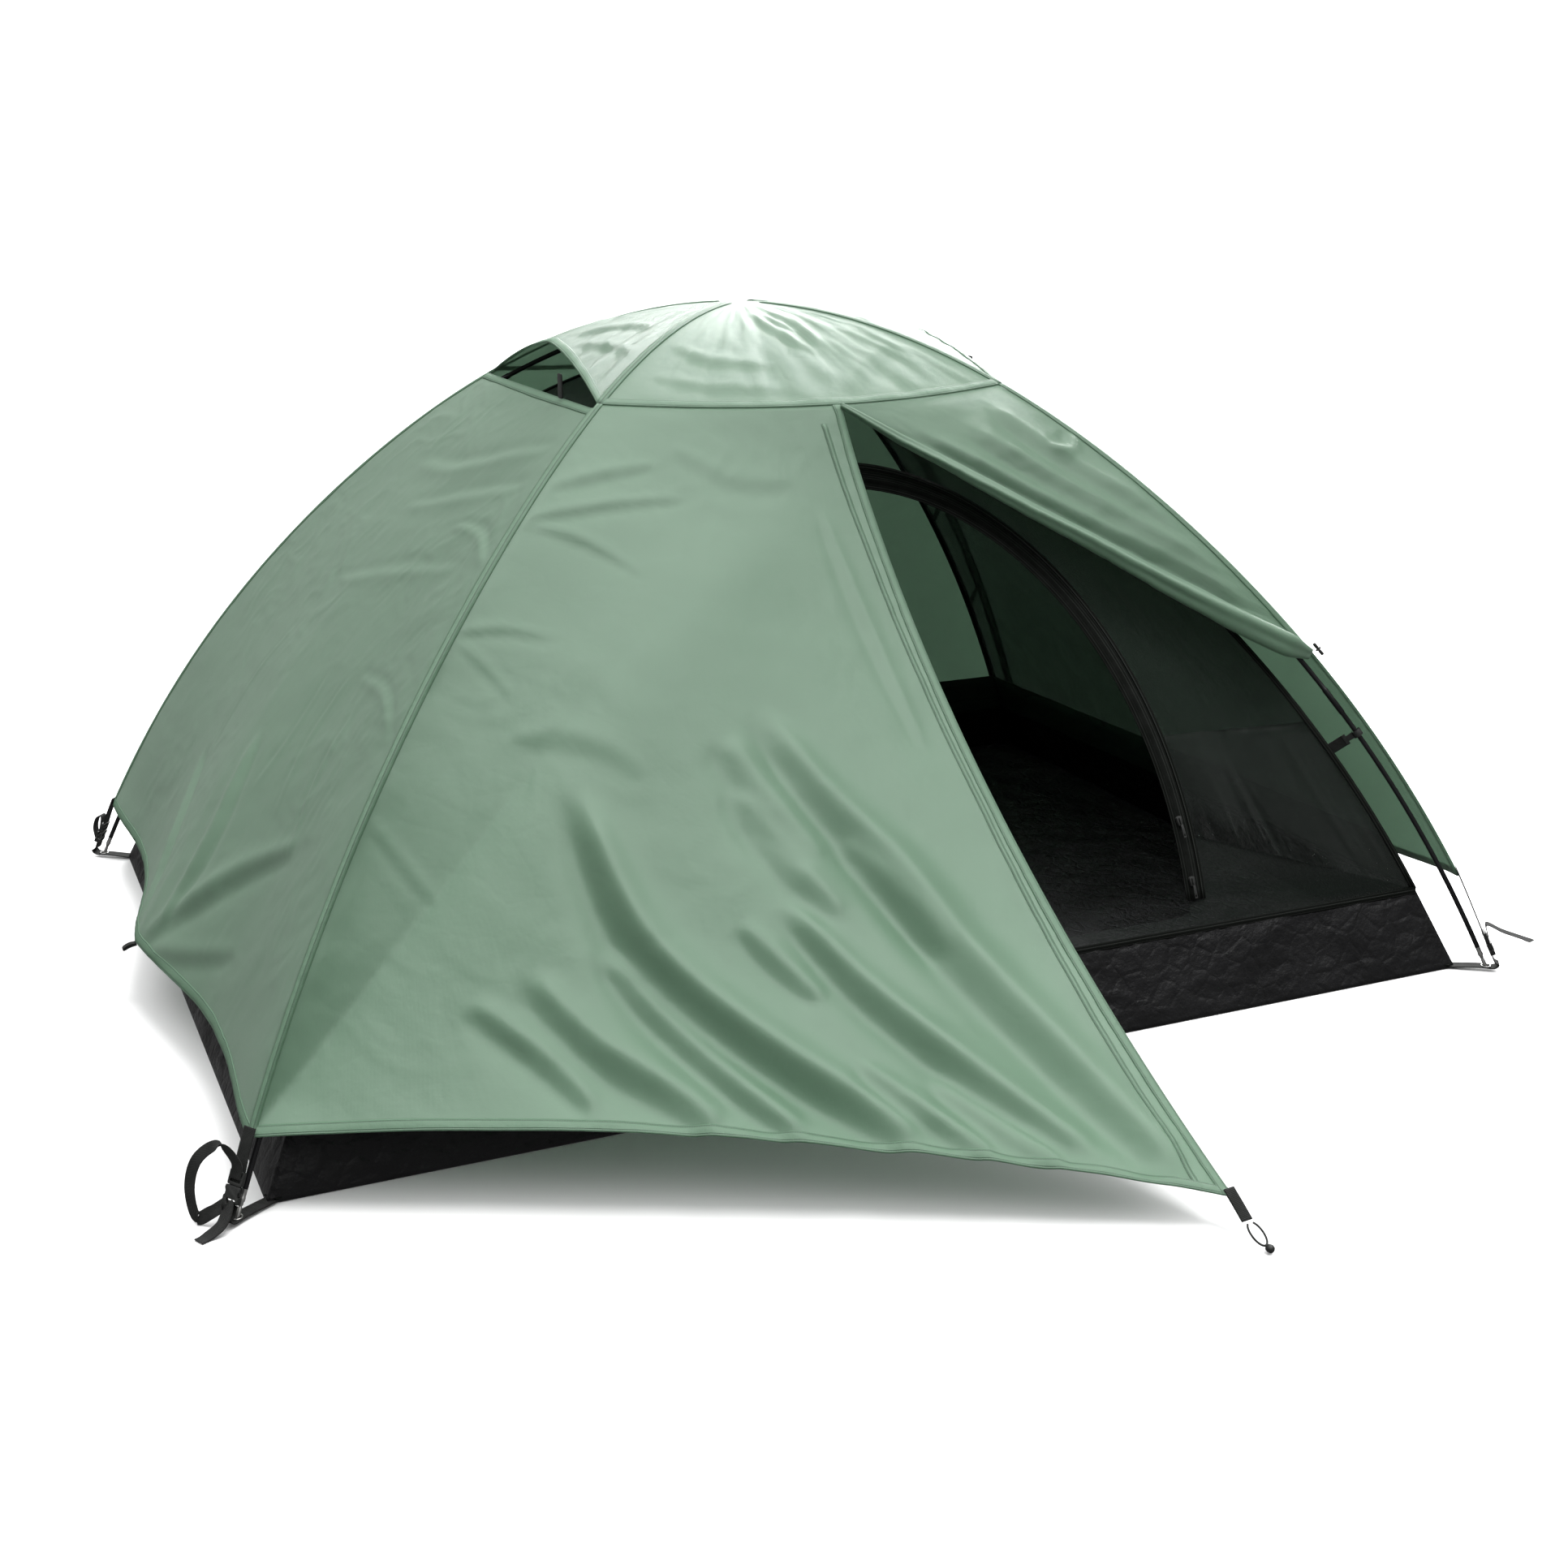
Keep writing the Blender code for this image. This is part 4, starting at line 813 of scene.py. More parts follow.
def panel(surface, columns, folds, seed, slack_foot=True, swell=0.0022, fine=0.0007, rows=PANEL_ROWS):
    """A wrinkled panel: its points, its normals, and its plain points."""
    plain = surface(*grid_shares(rows, columns))
    outward = plain[rows // 2, columns // 2] - 0.3 * UP
    normals = normals_of(plain, outward)
    near, far, above, below = edge_distances(plain)
    height = wrinkle_field(plain, seed, swell, fine)
    for controls, width, depth in folds:
        height = height + fold(plain, normals, surface, controls, width, depth * FOLD_DEPTH)
    run = metres(plain)[1]
    height = height + puckers(run, near, 0.020, 0.030, 0.0012, seed + 51)
    height = height + puckers(run, far, 0.020, 0.030, 0.0012, seed + 61)
    held = smooth(near, 0.0, 0.022) * smooth(far, 0.0, 0.022) * smooth(above, 0.0, 0.03)
    if not slack_foot:
        held = held * smooth(below, 0.0, 0.02)
    points = plain + normals * (height * held)[..., None]
    return points, normals_of(points, outward), plain


def rolled_half(made):
    """The right door half, wound up from the panel's free edge: one sheet with it."""
    points, normals, _ = made
    down = shares(len(points))
    edge = points[:, -1]
    into = unit(points[:, -1] - points[:, -4])
    along = unit(np.gradient(edge, axis=0))
    facing = normals[:, -1]
    outward = unit(into - along * (into * along).sum(-1, keepdims=True))
    near_tie = 1 - 0.55 * smooth(down, 0.93, 1.0)
    size = (ROLL_START + (ROLL_RADIUS_END + 0.001 - ROLL_START) * down ** 0.75) * near_tie
    wind = shares(ROLL_STEPS)[1:]
    turn = wind * ROLL_TURNS * 2 * math.pi
    shrink = 1 - 0.72 * wind
    wave = 0.13 * np.sin(4 * turn[None, :] + 5.0 * down[:, None] + 1.0) * shrink[None, :]
    wave = wave + 0.10 * noise(turn[None, :] * 0.9, down[:, None] * 7.0, 703)
    start = smooth(wind * ROLL_TURNS, 0.0, 0.06)[None, :]
    reach = size[:, None] * shrink[None, :] * (1 + wave * start)
    lean = math.radians(52)
    first = -outward * math.cos(lean) - facing * math.sin(lean)
    second = facing * math.cos(lean) - outward * math.sin(lean)
    centre = edge - first * size[:, None]
    sag = -0.010 * UP * arch(down)[:, None]
    spoke = first[:, None] * np.cos(turn)[:, None] + second[:, None] * np.sin(turn)[:, None]
    roll = centre[:, None] + sag[:, None] * start[..., None] + spoke * reach[..., None]
    return np.concatenate((points, roll), axis=1)


def roof_panel():
    """The roof cap as one closed grid from the crossing out to its edge."""
    runs = ROOF_EDGE * shares(ROOF_RINGS)
    steps = np.arange(ROOF_STEPS) / ROOF_STEPS
    run, part = np.meshgrid(runs, steps, indexing="ij")
    plain = np.concatenate([roof_surface(side, run, part) for side in SIDES], axis=1)
    across = np.roll(plain, -1, axis=1) - np.roll(plain, 1, axis=1)
    normals = unit(np.cross(np.gradient(plain, axis=0), across))
    normals = normals * np.where(normals[..., 2:] < 0, -1.0, 1.0)
    normals[0] = UP
    turn = np.arange(4 * ROOF_STEPS)[None, :] / (4 * ROOF_STEPS)
    runs = runs[:, None]
    ripples = noise(turn * 64, runs / 0.10, 301) + 0.5 * noise(turn * 192, runs / 0.05, 302)
    slack = 0.0030 * ripples * (runs / ROOF_EDGE) ** 0.5
    for side, folds in ROOF_FOLDS.items():
        def surface(down, part, side=side):
            return roof_surface(side, ROOF_EDGE * down, part)

        for controls, width, depth in folds:
            slack = slack + fold(plain, normals, surface, controls, width, depth)
    place = np.tile(steps, 4)[None, :]
    mask = smooth(np.minimum(place, 1 - place), 0.0, 0.10) * smooth(ROOF_EDGE - runs, 0.0, 0.02)
    mask = mask * smooth(runs, 0.03, 0.12)
    return plain + normals * (slack * mask)[..., None], normals, plain


def seam_half(name, made, side, leg, start, end):
    """Half of a felled ridge seam, on one panel, from the ridge line inwards."""
    points, normals, _ = made
    runs = start + (end - start) * shares(len(points))
    curves = [leg_points(leg, runs, SEAM_LINE)]
    for inset, lift in ((0.0022, 0.0024), (0.0075, 0.0019), (SEAM_HALF, 0.0008)):
        curves.append(edge_curve(points, normals, side, inset, lift))
    return fly_band(name, curves, "seam")


def roof_edge_band(name, made, side):
    """A stitched band along one side of the roof cap's edge."""
    points, normals, _ = made
    keep = np.arange(side * ROOF_STEPS, (side + 1) * ROOF_STEPS + 1) % points.shape[1]
    curves = []
    for share, lift in ((0.0, 0.0012), (0.12, 0.0020), (0.88, 0.0020), (1.0, 0.0012)):
        curves.append(edge_curve(points, normals, "foot", share * HEM_WIDTH, lift)[keep])
    fly_band(name, curves, "hem")


def roof_ridge_seam(name, made, column, leg):
    """The felled seam over a pole on the roof cap."""
    points, normals, _ = made
    start = 4
    ridge = points[start:, column]
    line = leg_points(leg, ROOF_EDGE * shares(len(points)), SEAM_LINE)[start:]
    curves = []
    for step, width, lift in (
        (-1, SEAM_HALF, 0.0008), (-1, 0.0070, 0.0020), (1, 0.0070, 0.0020), (1, SEAM_HALF, 0.0008)
    ):
        along = unit(points[start:, (column + step) % points.shape[1]] - ridge)
        curves.append(ridge + along * width + normals[start:, column] * lift)
    curves.insert(2, line)
    fly_band(name, curves, "seam")


def blend_door(made):
    """Free a piece of its parent and bake its place into its mesh; the hinge line's axis is worked out but
    not used.
    """
    made.parent = None
    made.matrix_world = Matrix.Identity(4)
    corner = fly_leg("fl", HEM["fl"])
    axis = unit(corner - door_top())
    across = VESTIBULE_TIP - corner
    across = unit(across - axis * (across @ axis))
    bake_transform(made)


def build_fly():
    left_surface = hung_surface("fl", "bl", END_TOP, (-1.0, 0.0, 0.0), END_PULL)
    right_surface = hung_surface("fr", "br", END_TOP, (1.0, 0.0, 0.0), END_PULL)
    back_surface = hung_surface("br", "bl", ROOF_EDGE, (0.0, 1.0, 0.0), 1.6 * END_PULL, BACK_BULGE)
    roof = roof_panel()
    left = panel(left_surface, 170, END_FOLDS, 100, fine=0.0012)
    right = panel(right_surface, 150, END_FOLDS, 140)
    back = panel(back_surface, 220, BACK_FOLDS, 180)
    front_left = panel(front_left_surface, 200, FRONT_LEFT_FOLDS, 220, swell=0.0024, fine=0.0006)
    front_right = panel(front_right_surface, 90, FRONT_RIGHT_FOLDS, 260, slack_foot=False, rows=90)
    build_fly_sheets(roof, left, right, back, front_left, front_right)
    build_fly_seams(roof, left, right, back, front_left, front_right)
    return front_left


def build_fly_sheets(roof, left, right, back, front_left, front_right):
    cap = new_object("roof_cloth", grid_mesh("roof_cloth", roof[0], True), "fly")
    thicken(cap, FLY_THICK)
    span = 2 * metres(roof[2])[1][-1].max()
    closed_area(roof[2])
    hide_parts("fly_roof_cap")
    for name, made, nodes in (
        ("left_end_cloth", left, ("fly_left_end",)),
        ("right_end_cloth", right, ("fly_right_end",)),
        ("back_cloth", back, ("fly_back",)),
        ("front_left_cloth", front_left, ("fly_front_left", "fly_door_left")),
    ):
        piece = cloth(name, made[0], "fly", FLY_THICK, plain=made[2])
        if made is front_left:
            blend_door(piece)
        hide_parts(*nodes)
    rolled = rolled_half(front_right)
    piece = cloth("front_right_cloth", rolled, "fly", FLY_THICK)
    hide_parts("fly_front_right", "fly_door_right_rolled")


def build_fly_seams(roof, left, right, back, front_left, front_right):
    for leg, place, made, side, top in (
        ("fl", "end", left, "first", END_TOP), ("bl", "end", left, "last", END_TOP),
        ("fr", "end", right, "first", END_TOP), ("br", "end", right, "last", END_TOP),
        ("br", "back", back, "first", ROOF_EDGE), ("bl", "back", back, "last", ROOF_EDGE),
    ):
        seam_half("seam_" + leg + "_" + place, made, side, leg, top, HEM[leg])
    blend_door(seam_half("seam_fl_front", front_left, "first", "fl", ROOF_EDGE, HEM["fl"]))
    seam_half("seam_fr_front", front_right, "first", "fr", ROOF_EDGE, TOGGLE_RUN)
    for name, made in (("left", left), ("right", right), ("back", back)):
        hem_band("hem_" + name, made, "foot")
    for name, made in (("left", left), ("right", right)):
        hem_band("vent_lip_" + name, made, "top")
    blend_door(hem_band("hem_door", front_left, "foot"))
    blend_door(hem_band("zip_edge_band", front_left, "last"))
    points, normals, _ = front_left
    inset = 0.040 - 0.016 * np.sin(math.pi * shares(len(points)))
    curves = []
    for shift, lift in ((0.0, 0.0009), (0.002, 0.0014), (0.008, 0.0014), (0.010, 0.0009)):
        curves.append(edge_curve(points, normals, "last", inset + shift, lift)[4:])
    blend_door(fly_band("zip_stitch_band", curves, "zip_seam"))
    for side, kind in enumerate(("roof_seam_front", "hood_brim_right", "roof_seam_back", "hood_brim_left")):
        roof_edge_band(kind, roof, side)
    for side, leg in enumerate(LEGS):
        roof_ridge_seam("roof_ridge_" + leg, roof, side * ROOF_STEPS, leg)


# ---- the inner tent ------------------------------------------------------------------
DOOR_CENTRE = DOORWAY_FOOT + 0.30
DOORWAY_PROFILE = (            # the zip tape's section: metres outside the edge, metres ahead
    (-0.006, 0.0030), (0.0045, 0.0034), (0.0065, 0.0052), (0.0110, 0.0052), (0.0130, 0.0034),
    (0.024, 0.0030),
)


def foot_run(leg):
    """Run at which the inner tent's leg meets the bathtub's top."""
    return float(inner_run(leg, BATHTUB_FRONT if LEGS[leg][1] < 0 else BATHTUB_BACK))


def bathtub_corner(leg):
    """The bathtub's top at a leg."""
    return inner_leg(leg, foot_run(leg))


def seam_runs(leg, down):
    """The runs down an inner tent's edge, from under the crossing to the bathtub."""
    return 0.03 + (foot_run(leg) - 0.03) * down


def inner_wall(side, sag, seed, look):
    """The wall of the inner tent on one side."""
    down, part = grid_shares(70, 90)
    start, end = (inner_leg(leg, seam_runs(leg, down)) for leg in SIDES[side])
    plain = mix(start, end, part) + np.array(sag) * (arch(part) * arch(down))[..., None]
    normals = normals_of(plain, plain[40, 45] * LEVEL)
    near, far, above, below = edge_distances(plain)
    mask = smooth(np.minimum(near, far), 0.0, 0.04) * smooth(np.minimum(above, below), 0.0, 0.03)
    run = metres(plain)[1]
    height = wrinkle_field(plain, seed, 0.0035, 0.0012) * mask
    height = height + puckers(run, near, 0.03, 0.05, 0.0018, seed + 3) * smooth(near, 0.0, 0.02)
    points = plain + normals * height[..., None]
    name = "inner_" + side
    made = cloth(name + "_cloth", points, look, INNER_THICK, plain)
    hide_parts(name)


def reach_until(outside, count, limit):
    """The largest reach along each of count rays that isn't outside."""
    low = np.zeros(count)
    high = np.full(count, limit)
    for _ in range(40):
        middle = (low + high) / 2
        out = outside(middle)
        high = np.where(out, middle, high)
        low = np.where(out, low, middle)
    return low


def front_wall_points(x, z):
    """Points of the inner tent's front wall at the given X and Z."""
    x, z = np.broadcast_arrays(np.asarray(x, float), np.asarray(z, float))
    y = inner_leg("fl", inner_run("fl", z))[..., 1]
    return np.stack((x, y, z), -1)


def doorway_reach(angle):
    def outside(reach):
        x = np.abs(reach * np.cos(angle)) / DOORWAY_HALF
        z = (DOOR_CENTRE + reach * np.sin(angle) - DOORWAY_FOOT) / DOORWAY_RISE
        return (z < 0) | (x ** DOORWAY_POWER + np.maximum(z, 0) ** DOORWAY_POWER > 1)

    return reach_until(outside, len(angle), 0.9)


def wall_reach(angle):
    def outside(reach):
        x = np.abs(reach * np.cos(angle))
        z = DOOR_CENTRE + reach * np.sin(angle)
        run = inner_run("fl", z)
        edge = np.abs(inner_leg("fl", run)[:, 0]) - 0.001
        return (z < BATHTUB_FRONT) | (x > edge) | (run < 0.04)

    return reach_until(outside, len(angle), 1.3)


def build_inner_front():
    """The front wall: a ring of cloth round the D-shaped doorway."""
    corner = math.atan2(BATHTUB_FRONT + 1e-4 - DOOR_CENTRE, bathtub_corner("fr")[0] - 0.001)
    angle = np.linspace(0, 2 * math.pi, 240, endpoint=False)
    angle = np.sort(np.append(angle, (corner, math.pi - corner)))
    near = doorway_reach(angle)
    far = wall_reach(angle)
    reach = near + (far - near) * shares(26)[:, None]
    plain = front_wall_points(reach * np.cos(angle), DOOR_CENTRE + reach * np.sin(angle))
    around = np.broadcast_to(angle * 0.45, reach.shape)
    ripples = noise(around / 0.12, reach / 0.5, 411) + 0.5 * noise(around / 0.05, reach / 0.16, 412)
    height = 0.0030 * ripples + 0.0010 * creases(around / 0.08, reach / 0.08, 413)
    height = height * smooth(np.minimum(reach - near, far - reach), 0.0, 0.04)
    points = plain + normals_of(plain, (0.0, -1.0, 0.3)) * height[..., None]
    mesh = grid_mesh("inner_front_cloth", points, closed=True)
    made = new_object("inner_front_cloth", mesh, "netting")
    thicken(made, INNER_THICK)
    closed_area(plain)
    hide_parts("inner_front")


def doorway_edge(turn):
    """X and Z of the doorway's edge, from its right foot over to its left foot."""
    angle = math.pi * np.asarray(turn, float)
    power = 2.0 / DOORWAY_POWER
    x = DOORWAY_HALF * np.sign(np.cos(angle)) * np.abs(np.cos(angle)) ** power
    z = DOORWAY_FOOT + DOORWAY_RISE * np.abs(np.sin(angle)) ** power
    return x, z


def doorway_line(shift, ahead):
    """A line round the doorway, shift outside its edge and ahead of the wall."""
    turn = 0.008 + 0.984 * shares(150)
    x, z = doorway_edge(turn)
    along = unit(np.stack(doorway_edge(turn + 0.004), -1) - np.stack(doorway_edge(turn - 0.004), -1))
    height = np.maximum(z - along[:, 0] * shift, DOORWAY_FOOT)
    return front_wall_points(x + along[:, 1] * shift, height) - np.array((0.0, ahead, 0.0))


def build_inner_zip():
    lines = [doorway_line(shift, ahead) for shift, ahead in DOORWAY_PROFILE]
    tape = ribbon("doorway_zip", lines, "zip", thickness=0.0012)
    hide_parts("inner_zip_tape")
    piping = ((0.0245, 0.003), (0.027, 0.0045), (0.033, 0.003))
    ribbon("doorway_binding", [doorway_line(shift, ahead) for shift, ahead in piping], "binding")


def build_bindings():
    """Bound seams down the inner tent's four edges and round the bathtub's top."""
    for leg, (side_x, side_y) in LEGS.items():
        runs = seam_runs(leg, shares(60))
        line = inner_leg(leg, runs)
        out = leg_points(leg, runs, 0.003 - INNER_UNDER_POLE)
        lines = [line - np.array((side_x * 0.011, 0.0, 0.0)) + (out - line) * 0.6, out,
                 line - np.array((0.0, side_y * 0.011, 0.0)) + (out - line) * 0.6]
        ribbon("inner_seam_" + leg, lines, "binding", thickness=0.0012)
    for side, legs in SIDES.items():
        top = mix(*[bathtub_corner(leg) for leg in legs], shares(60))
        out = unit(top.mean(axis=0) * LEVEL)
        profile = ((-0.010, 0.0035), (-0.004, 0.0030), (0.002, 0.0025), (0.004, 0.0015))
        lines = [top + out * ahead + UP * rise for rise, ahead in profile]
        ribbon("bathtub_" + side + "_seam", lines, "binding")


def build_skirts():
    """Closer cloth along the foot of the inner tent's walls, behind the bathtub's top."""
    for side in ("back", "right", "left"):
        lines = []
        for rise in (0.0, 0.012, 0.060, 0.095):
            ends = [
                inner_leg(leg, inner_run(leg, bathtub_corner(leg)[2] + rise)) for leg in SIDES[side]
            ]
            line = mix(*ends, shares(60))
            lines.append(line - unit(line.mean(axis=0) * LEVEL) * 0.0022)
        ribbon("skirt_" + side, lines, "skirt", thickness=INNER_THICK)


def build_bathtub():
    for seed, (side, legs) in zip((501, 511, 521, 531), SIDES.items()):
        up, part = grid_shares(22, 210)
        ends = []
        for leg in legs:
            side_x, side_y = LEGS[leg]
            foot = np.array((side_x * HALF_X, side_y * HALF_Y, 0.0014))
            ends.append(mix(foot, bathtub_corner(leg), up))
        plain = mix(*ends, part)
        normals = normals_of(plain, plain[10, 100] * LEVEL)
        near, far, above, below = edge_distances(plain)
        mask = smooth(np.minimum(near, far), 0.0, 0.03) * smooth(np.minimum(above, below), 0.0, 0.03)
        across, down = metres(plain)
        height = 0.0030 * noise(across / 0.10, down / 0.12, seed)
        height = height + 0.0030 * creases(across / 0.07, down / 0.07, seed + 1)
        height = height + 0.0016 * creases(across / 0.03, down / 0.035, seed + 2)
        points = plain + normals * (height * mask)[..., None]
        made = cloth(
            "bathtub_" + side + "_cloth", points, "floor", 0.0009,
            plain,
        )
        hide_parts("bathtub_" + side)


def build_ground_cloth():
    """The floor inside: coated cloth that lies wrinkled on the ground."""
    down, part = grid_shares(150, 200)
    x = (2 * part - 1) * HALF_X
    y = (2 * down - 1) * HALF_Y
    edge = np.minimum(HALF_X - np.abs(x), HALF_Y - np.abs(y))
    height = 0.0050 * creases(x / 0.22, y / 0.16, 601) + 0.0036 * creases(x / 0.09, y / 0.08, 611)
    height = height + 0.0030 * (1 + noise(x / 0.16, y / 0.12, 621))
    plain = np.stack((x, y, np.full_like(x, 0.0012)), -1)
    points = plain + UP * (height * smooth(edge, 0.0, 0.05))[..., None]
    # painted light: this floor cloth's material is painted lighter than the bathtub's to stand in for light
    # in the tent's shade
    made = cloth("floor_cloth_painted_light", points, "ground", 0.0012, plain)
    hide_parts("floor_sheet")


def build_inner_door():
    """The inner door, gathered at the doorway's left: cloth wound up with pleats."""
    part = shares(60)
    x, z = doorway_edge(0.93 - 0.20 * part)
    spine = front_wall_points(x + 0.045, np.maximum(z, DOORWAY_FOOT + 0.02))
    spine = spine + np.array((0.0, 0.045, 0.0))
    along = unit(np.gradient(spine, axis=0))
    side = unit(np.cross(along, np.array((0.0, 0.35, 1.0))))
    up = np.cross(side, along)
    wind = shares(150)
    angle = wind * 3.0 * 2 * math.pi
    shrink = 0.30 + 0.70 * wind
    radius = 0.010 + 0.014 * np.sqrt(np.clip(np.sin(math.pi * part), 0, 1))
    wave = 1 + 0.13 * np.sin(5 * (angle + part[:, None] * 2.2)) * shrink ** 2
    wave = wave + 0.07 * noise(angle * 1.3, part[:, None] * 9, 731)
    spoke = side[:, None] * np.cos(angle)[:, None] + up[:, None] * np.sin(angle)[:, None]
    points = spine[:, None] + spoke * (radius[:, None] * shrink * wave)[..., None]
    made = cloth(
        "inner_door_bundle", points, "dense_netting", INNER_THICK,
    )
    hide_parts("inner_door_gathered")


def build_inner():
    build_inner_front()
    inner_wall("right", (-0.012, 0.0, 0.0), 421, "dense_netting")
    inner_wall("back", (0.0, -0.012, 0.0), 431, "netting")
    inner_wall("left", (0.012, 0.0, 0.0), 441, "dense_netting")
    build_inner_zip()
    build_bindings()
    build_skirts()
    build_ground_cloth()
    build_bathtub()
    build_inner_door()


# ---- hard and narrow parts -------------------------------------------------------------
STRAP_SECTION = ((-0.5, 0.0), (-0.42, 0.00015), (0.0, 0.00025), (0.42, 0.00015), (0.5, 0.0))


def frame_at(origin, up, side):
    """A frame whose Z is up and whose X leans towards side."""
    z_axis = Vector(up).normalized()
    y_axis = z_axis.cross(Vector(side)).normalized()
    x_axis = y_axis.cross(z_axis)
    axes = Matrix((x_axis, y_axis, z_axis)).transposed().to_4x4()
    return Matrix.Translation(Vector(origin)) @ axes


def in_frame(place, x, y, z):
    return np.array(place @ Vector((x, y, z)))


def mirrored(half):
    """A closed outline from its right half, listed from its foot to its top."""
    return [*half, *[(-x, z) for x, z in reversed(half)]]


def bar(name, points, radii, look, body="tent", sides=10):
    """A round bar or cord along points, with a radius at each."""
    spine = np.asarray(points, float)
    radii = np.broadcast_to(np.asarray(radii, float), (len(spine),))
    along = unit(np.gradient(spine, axis=0))
    side = unit(np.cross(along[0], (0.31, 0.17, 0.93)))
    turn = 2 * math.pi * np.arange(sides)[:, None] / sides
    rings = []
    for centre, way, radius in zip(spine, along, radii):
        side = unit(side - way * (side @ way))
        rings.append(centre + radius * (side * np.cos(turn) + np.cross(way, side) * np.sin(turn)))
    mesh = grid_mesh(name, np.array(rings), closed=True)
    shaped = bmesh.new()
    shaped.from_mesh(mesh)
    shaped.verts.ensure_lookup_table()
    shaped.faces.new(shaped.verts[:sides])
    shaped.faces.new(shaped.verts[-sides:])
    bmesh.ops.recalc_face_normals(shaped, faces=shaped.faces)
    shaped.to_mesh(mesh)
    shaped.free()
    mesh.set_sharp_from_angle(angle=math.radians(50))
    return new_object(name, mesh, look, body)


def turned(name, profile, place, look, body="tent"):
    """A solid of revolution about a frame's Z, over (radius, height) pairs."""
    axis = [in_frame(place, 0.0, 0.0, height) for _, height in profile]
    return bar(name, axis, [radius for radius, _ in profile], look, body, 24)


def prism(outline, depth, middle, holes, bevel):
    """One bevelled prism of an outline in X and Z, its depth along Y."""
    shaped = bmesh.new()
    edges = []
    for loop in (outline, *holes):
        corners = [shaped.verts.new((x, middle - depth / 2, z)) for x, z in loop]
        edges += [shaped.edges.new((corners[i - 1], corners[i])) for i in range(len(corners))]
    bmesh.ops.triangle_fill(shaped, edges=edges, use_dissolve=True, use_beauty=True)
    grown = bmesh.ops.extrude_face_region(shaped, geom=list(shaped.faces), use_keep_orig=True)
    moved = [item for item in grown["geom"] if isinstance(item, bmesh.types.BMVert)]
    bmesh.ops.translate(shaped, verts=moved, vec=(0.0, depth, 0.0))
    bmesh.ops.recalc_face_normals(shaped, faces=shaped.faces)
    rims = [e for e in shaped.edges if e.is_manifold and e.calc_face_angle(0.0) > 0.9]
    bmesh.ops.bevel(
        shaped, geom=rims, offset=bevel, segments=2, profile=0.6, affect="EDGES", clamp_overlap=True
    )
    return shaped


def moulded(name, prisms, place, bevel, look="plastic", body="tent"):
    """A moulded part: prisms of (outline in X and Z, depth, middle in Y, *holes)."""
    whole = bmesh.new()
    for outline, depth, middle, *holes in prisms:
        shaped = prism(outline, depth, middle, holes, bevel)
        part = bpy.data.meshes.new(name + "_part")
        shaped.to_mesh(part)
        shaped.free()
        whole.from_mesh(part)
        bpy.data.meshes.remove(part)
    bmesh.ops.transform(whole, matrix=place, verts=whole.verts)
    mesh = bpy.data.meshes.new(name)
    whole.to_mesh(mesh)
    whole.free()
    mesh.shade_smooth()
    mesh.set_sharp_from_angle(angle=math.radians(35))
    return new_object(name, mesh, look, body)


def rectangle(width, low, high, round_off=0.0, steps=4):
    """An upright outline from low to high with rounded corners."""
    half = width / 2
    if round_off <= 0:
        return [(-half, low), (half, low), (half, high), (-half, high)]
    outline = []
    for side, level, start in ((1, low, -90), (1, high, 0), (-1, high, 90), (-1, low, 180)):
        centre_x = side * (half - round_off)
        centre_z = level + (round_off if level == low else -round_off)
        for step in range(steps + 1):
            turn = math.radians(start + 90 * step / steps)
            spot = (centre_x + round_off * math.cos(turn), centre_z + round_off * math.sin(turn))
            outline.append(spot)
    return outline


def shifted(outline, x):
    return [(px + x, pz) for px, pz in outline]


def strap(name, line, across, width, body="tent", thickness=0.0014, look="webbing", count=None):
    """Webbing along a smooth line; across is the direction of its width."""
    centre = smooth_line(line, count or 12 * len(line))
    along = unit(np.gradient(centre, axis=0))
    given = np.broadcast_to(np.asarray(across, float), centre.shape)
    side = unit(given - along * (given * along).sum(-1, keepdims=True))
    up = np.cross(side, along)
    curves = [centre + side * (share * width) + up * crown for share, crown in STRAP_SECTION]
    return ribbon(name, curves, look, body, thickness)


# ---- poles ---------------------------------------------------------------------------------
def build_poles():
    """The two poles, thicker where a ferrule joins two sections."""
    joints = [2.0 * (i + 1) / POLE_SECTIONS - 1.0 for i in range(POLE_SECTIONS - 1)]
    for name, first, second in (("a", "fl", "br"), ("b", "bl", "fr")):
        places = set(np.round(np.linspace(-POLE_END, POLE_END, 181), 5))
        for joint in joints:
            places = {p for p in places if abs(p - joint) > 0.0135}
            places |= {joint + side * shift for side in (-1, 1) for shift in (0.0118, 0.0122, 0.0125)}
        places = np.array(sorted(places))
        gap = np.min([np.abs(places - joint) for joint in joints], axis=0)
        swell = np.where(gap < 0.0119, 1.20, np.where(gap < 0.0123, 1.12, 1.0))
        before = pole_points(first, abs(places))
        after = pole_points(second, abs(places))
        line = np.where((places < 0)[:, None], before, after)
        made = bar(
            "pole_run_" + name, line, POLE_RADIUS * swell, "pole", sides=20
        )
        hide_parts("pole_" + name)
    for leg in LEGS:
        build_pole_tip(leg)


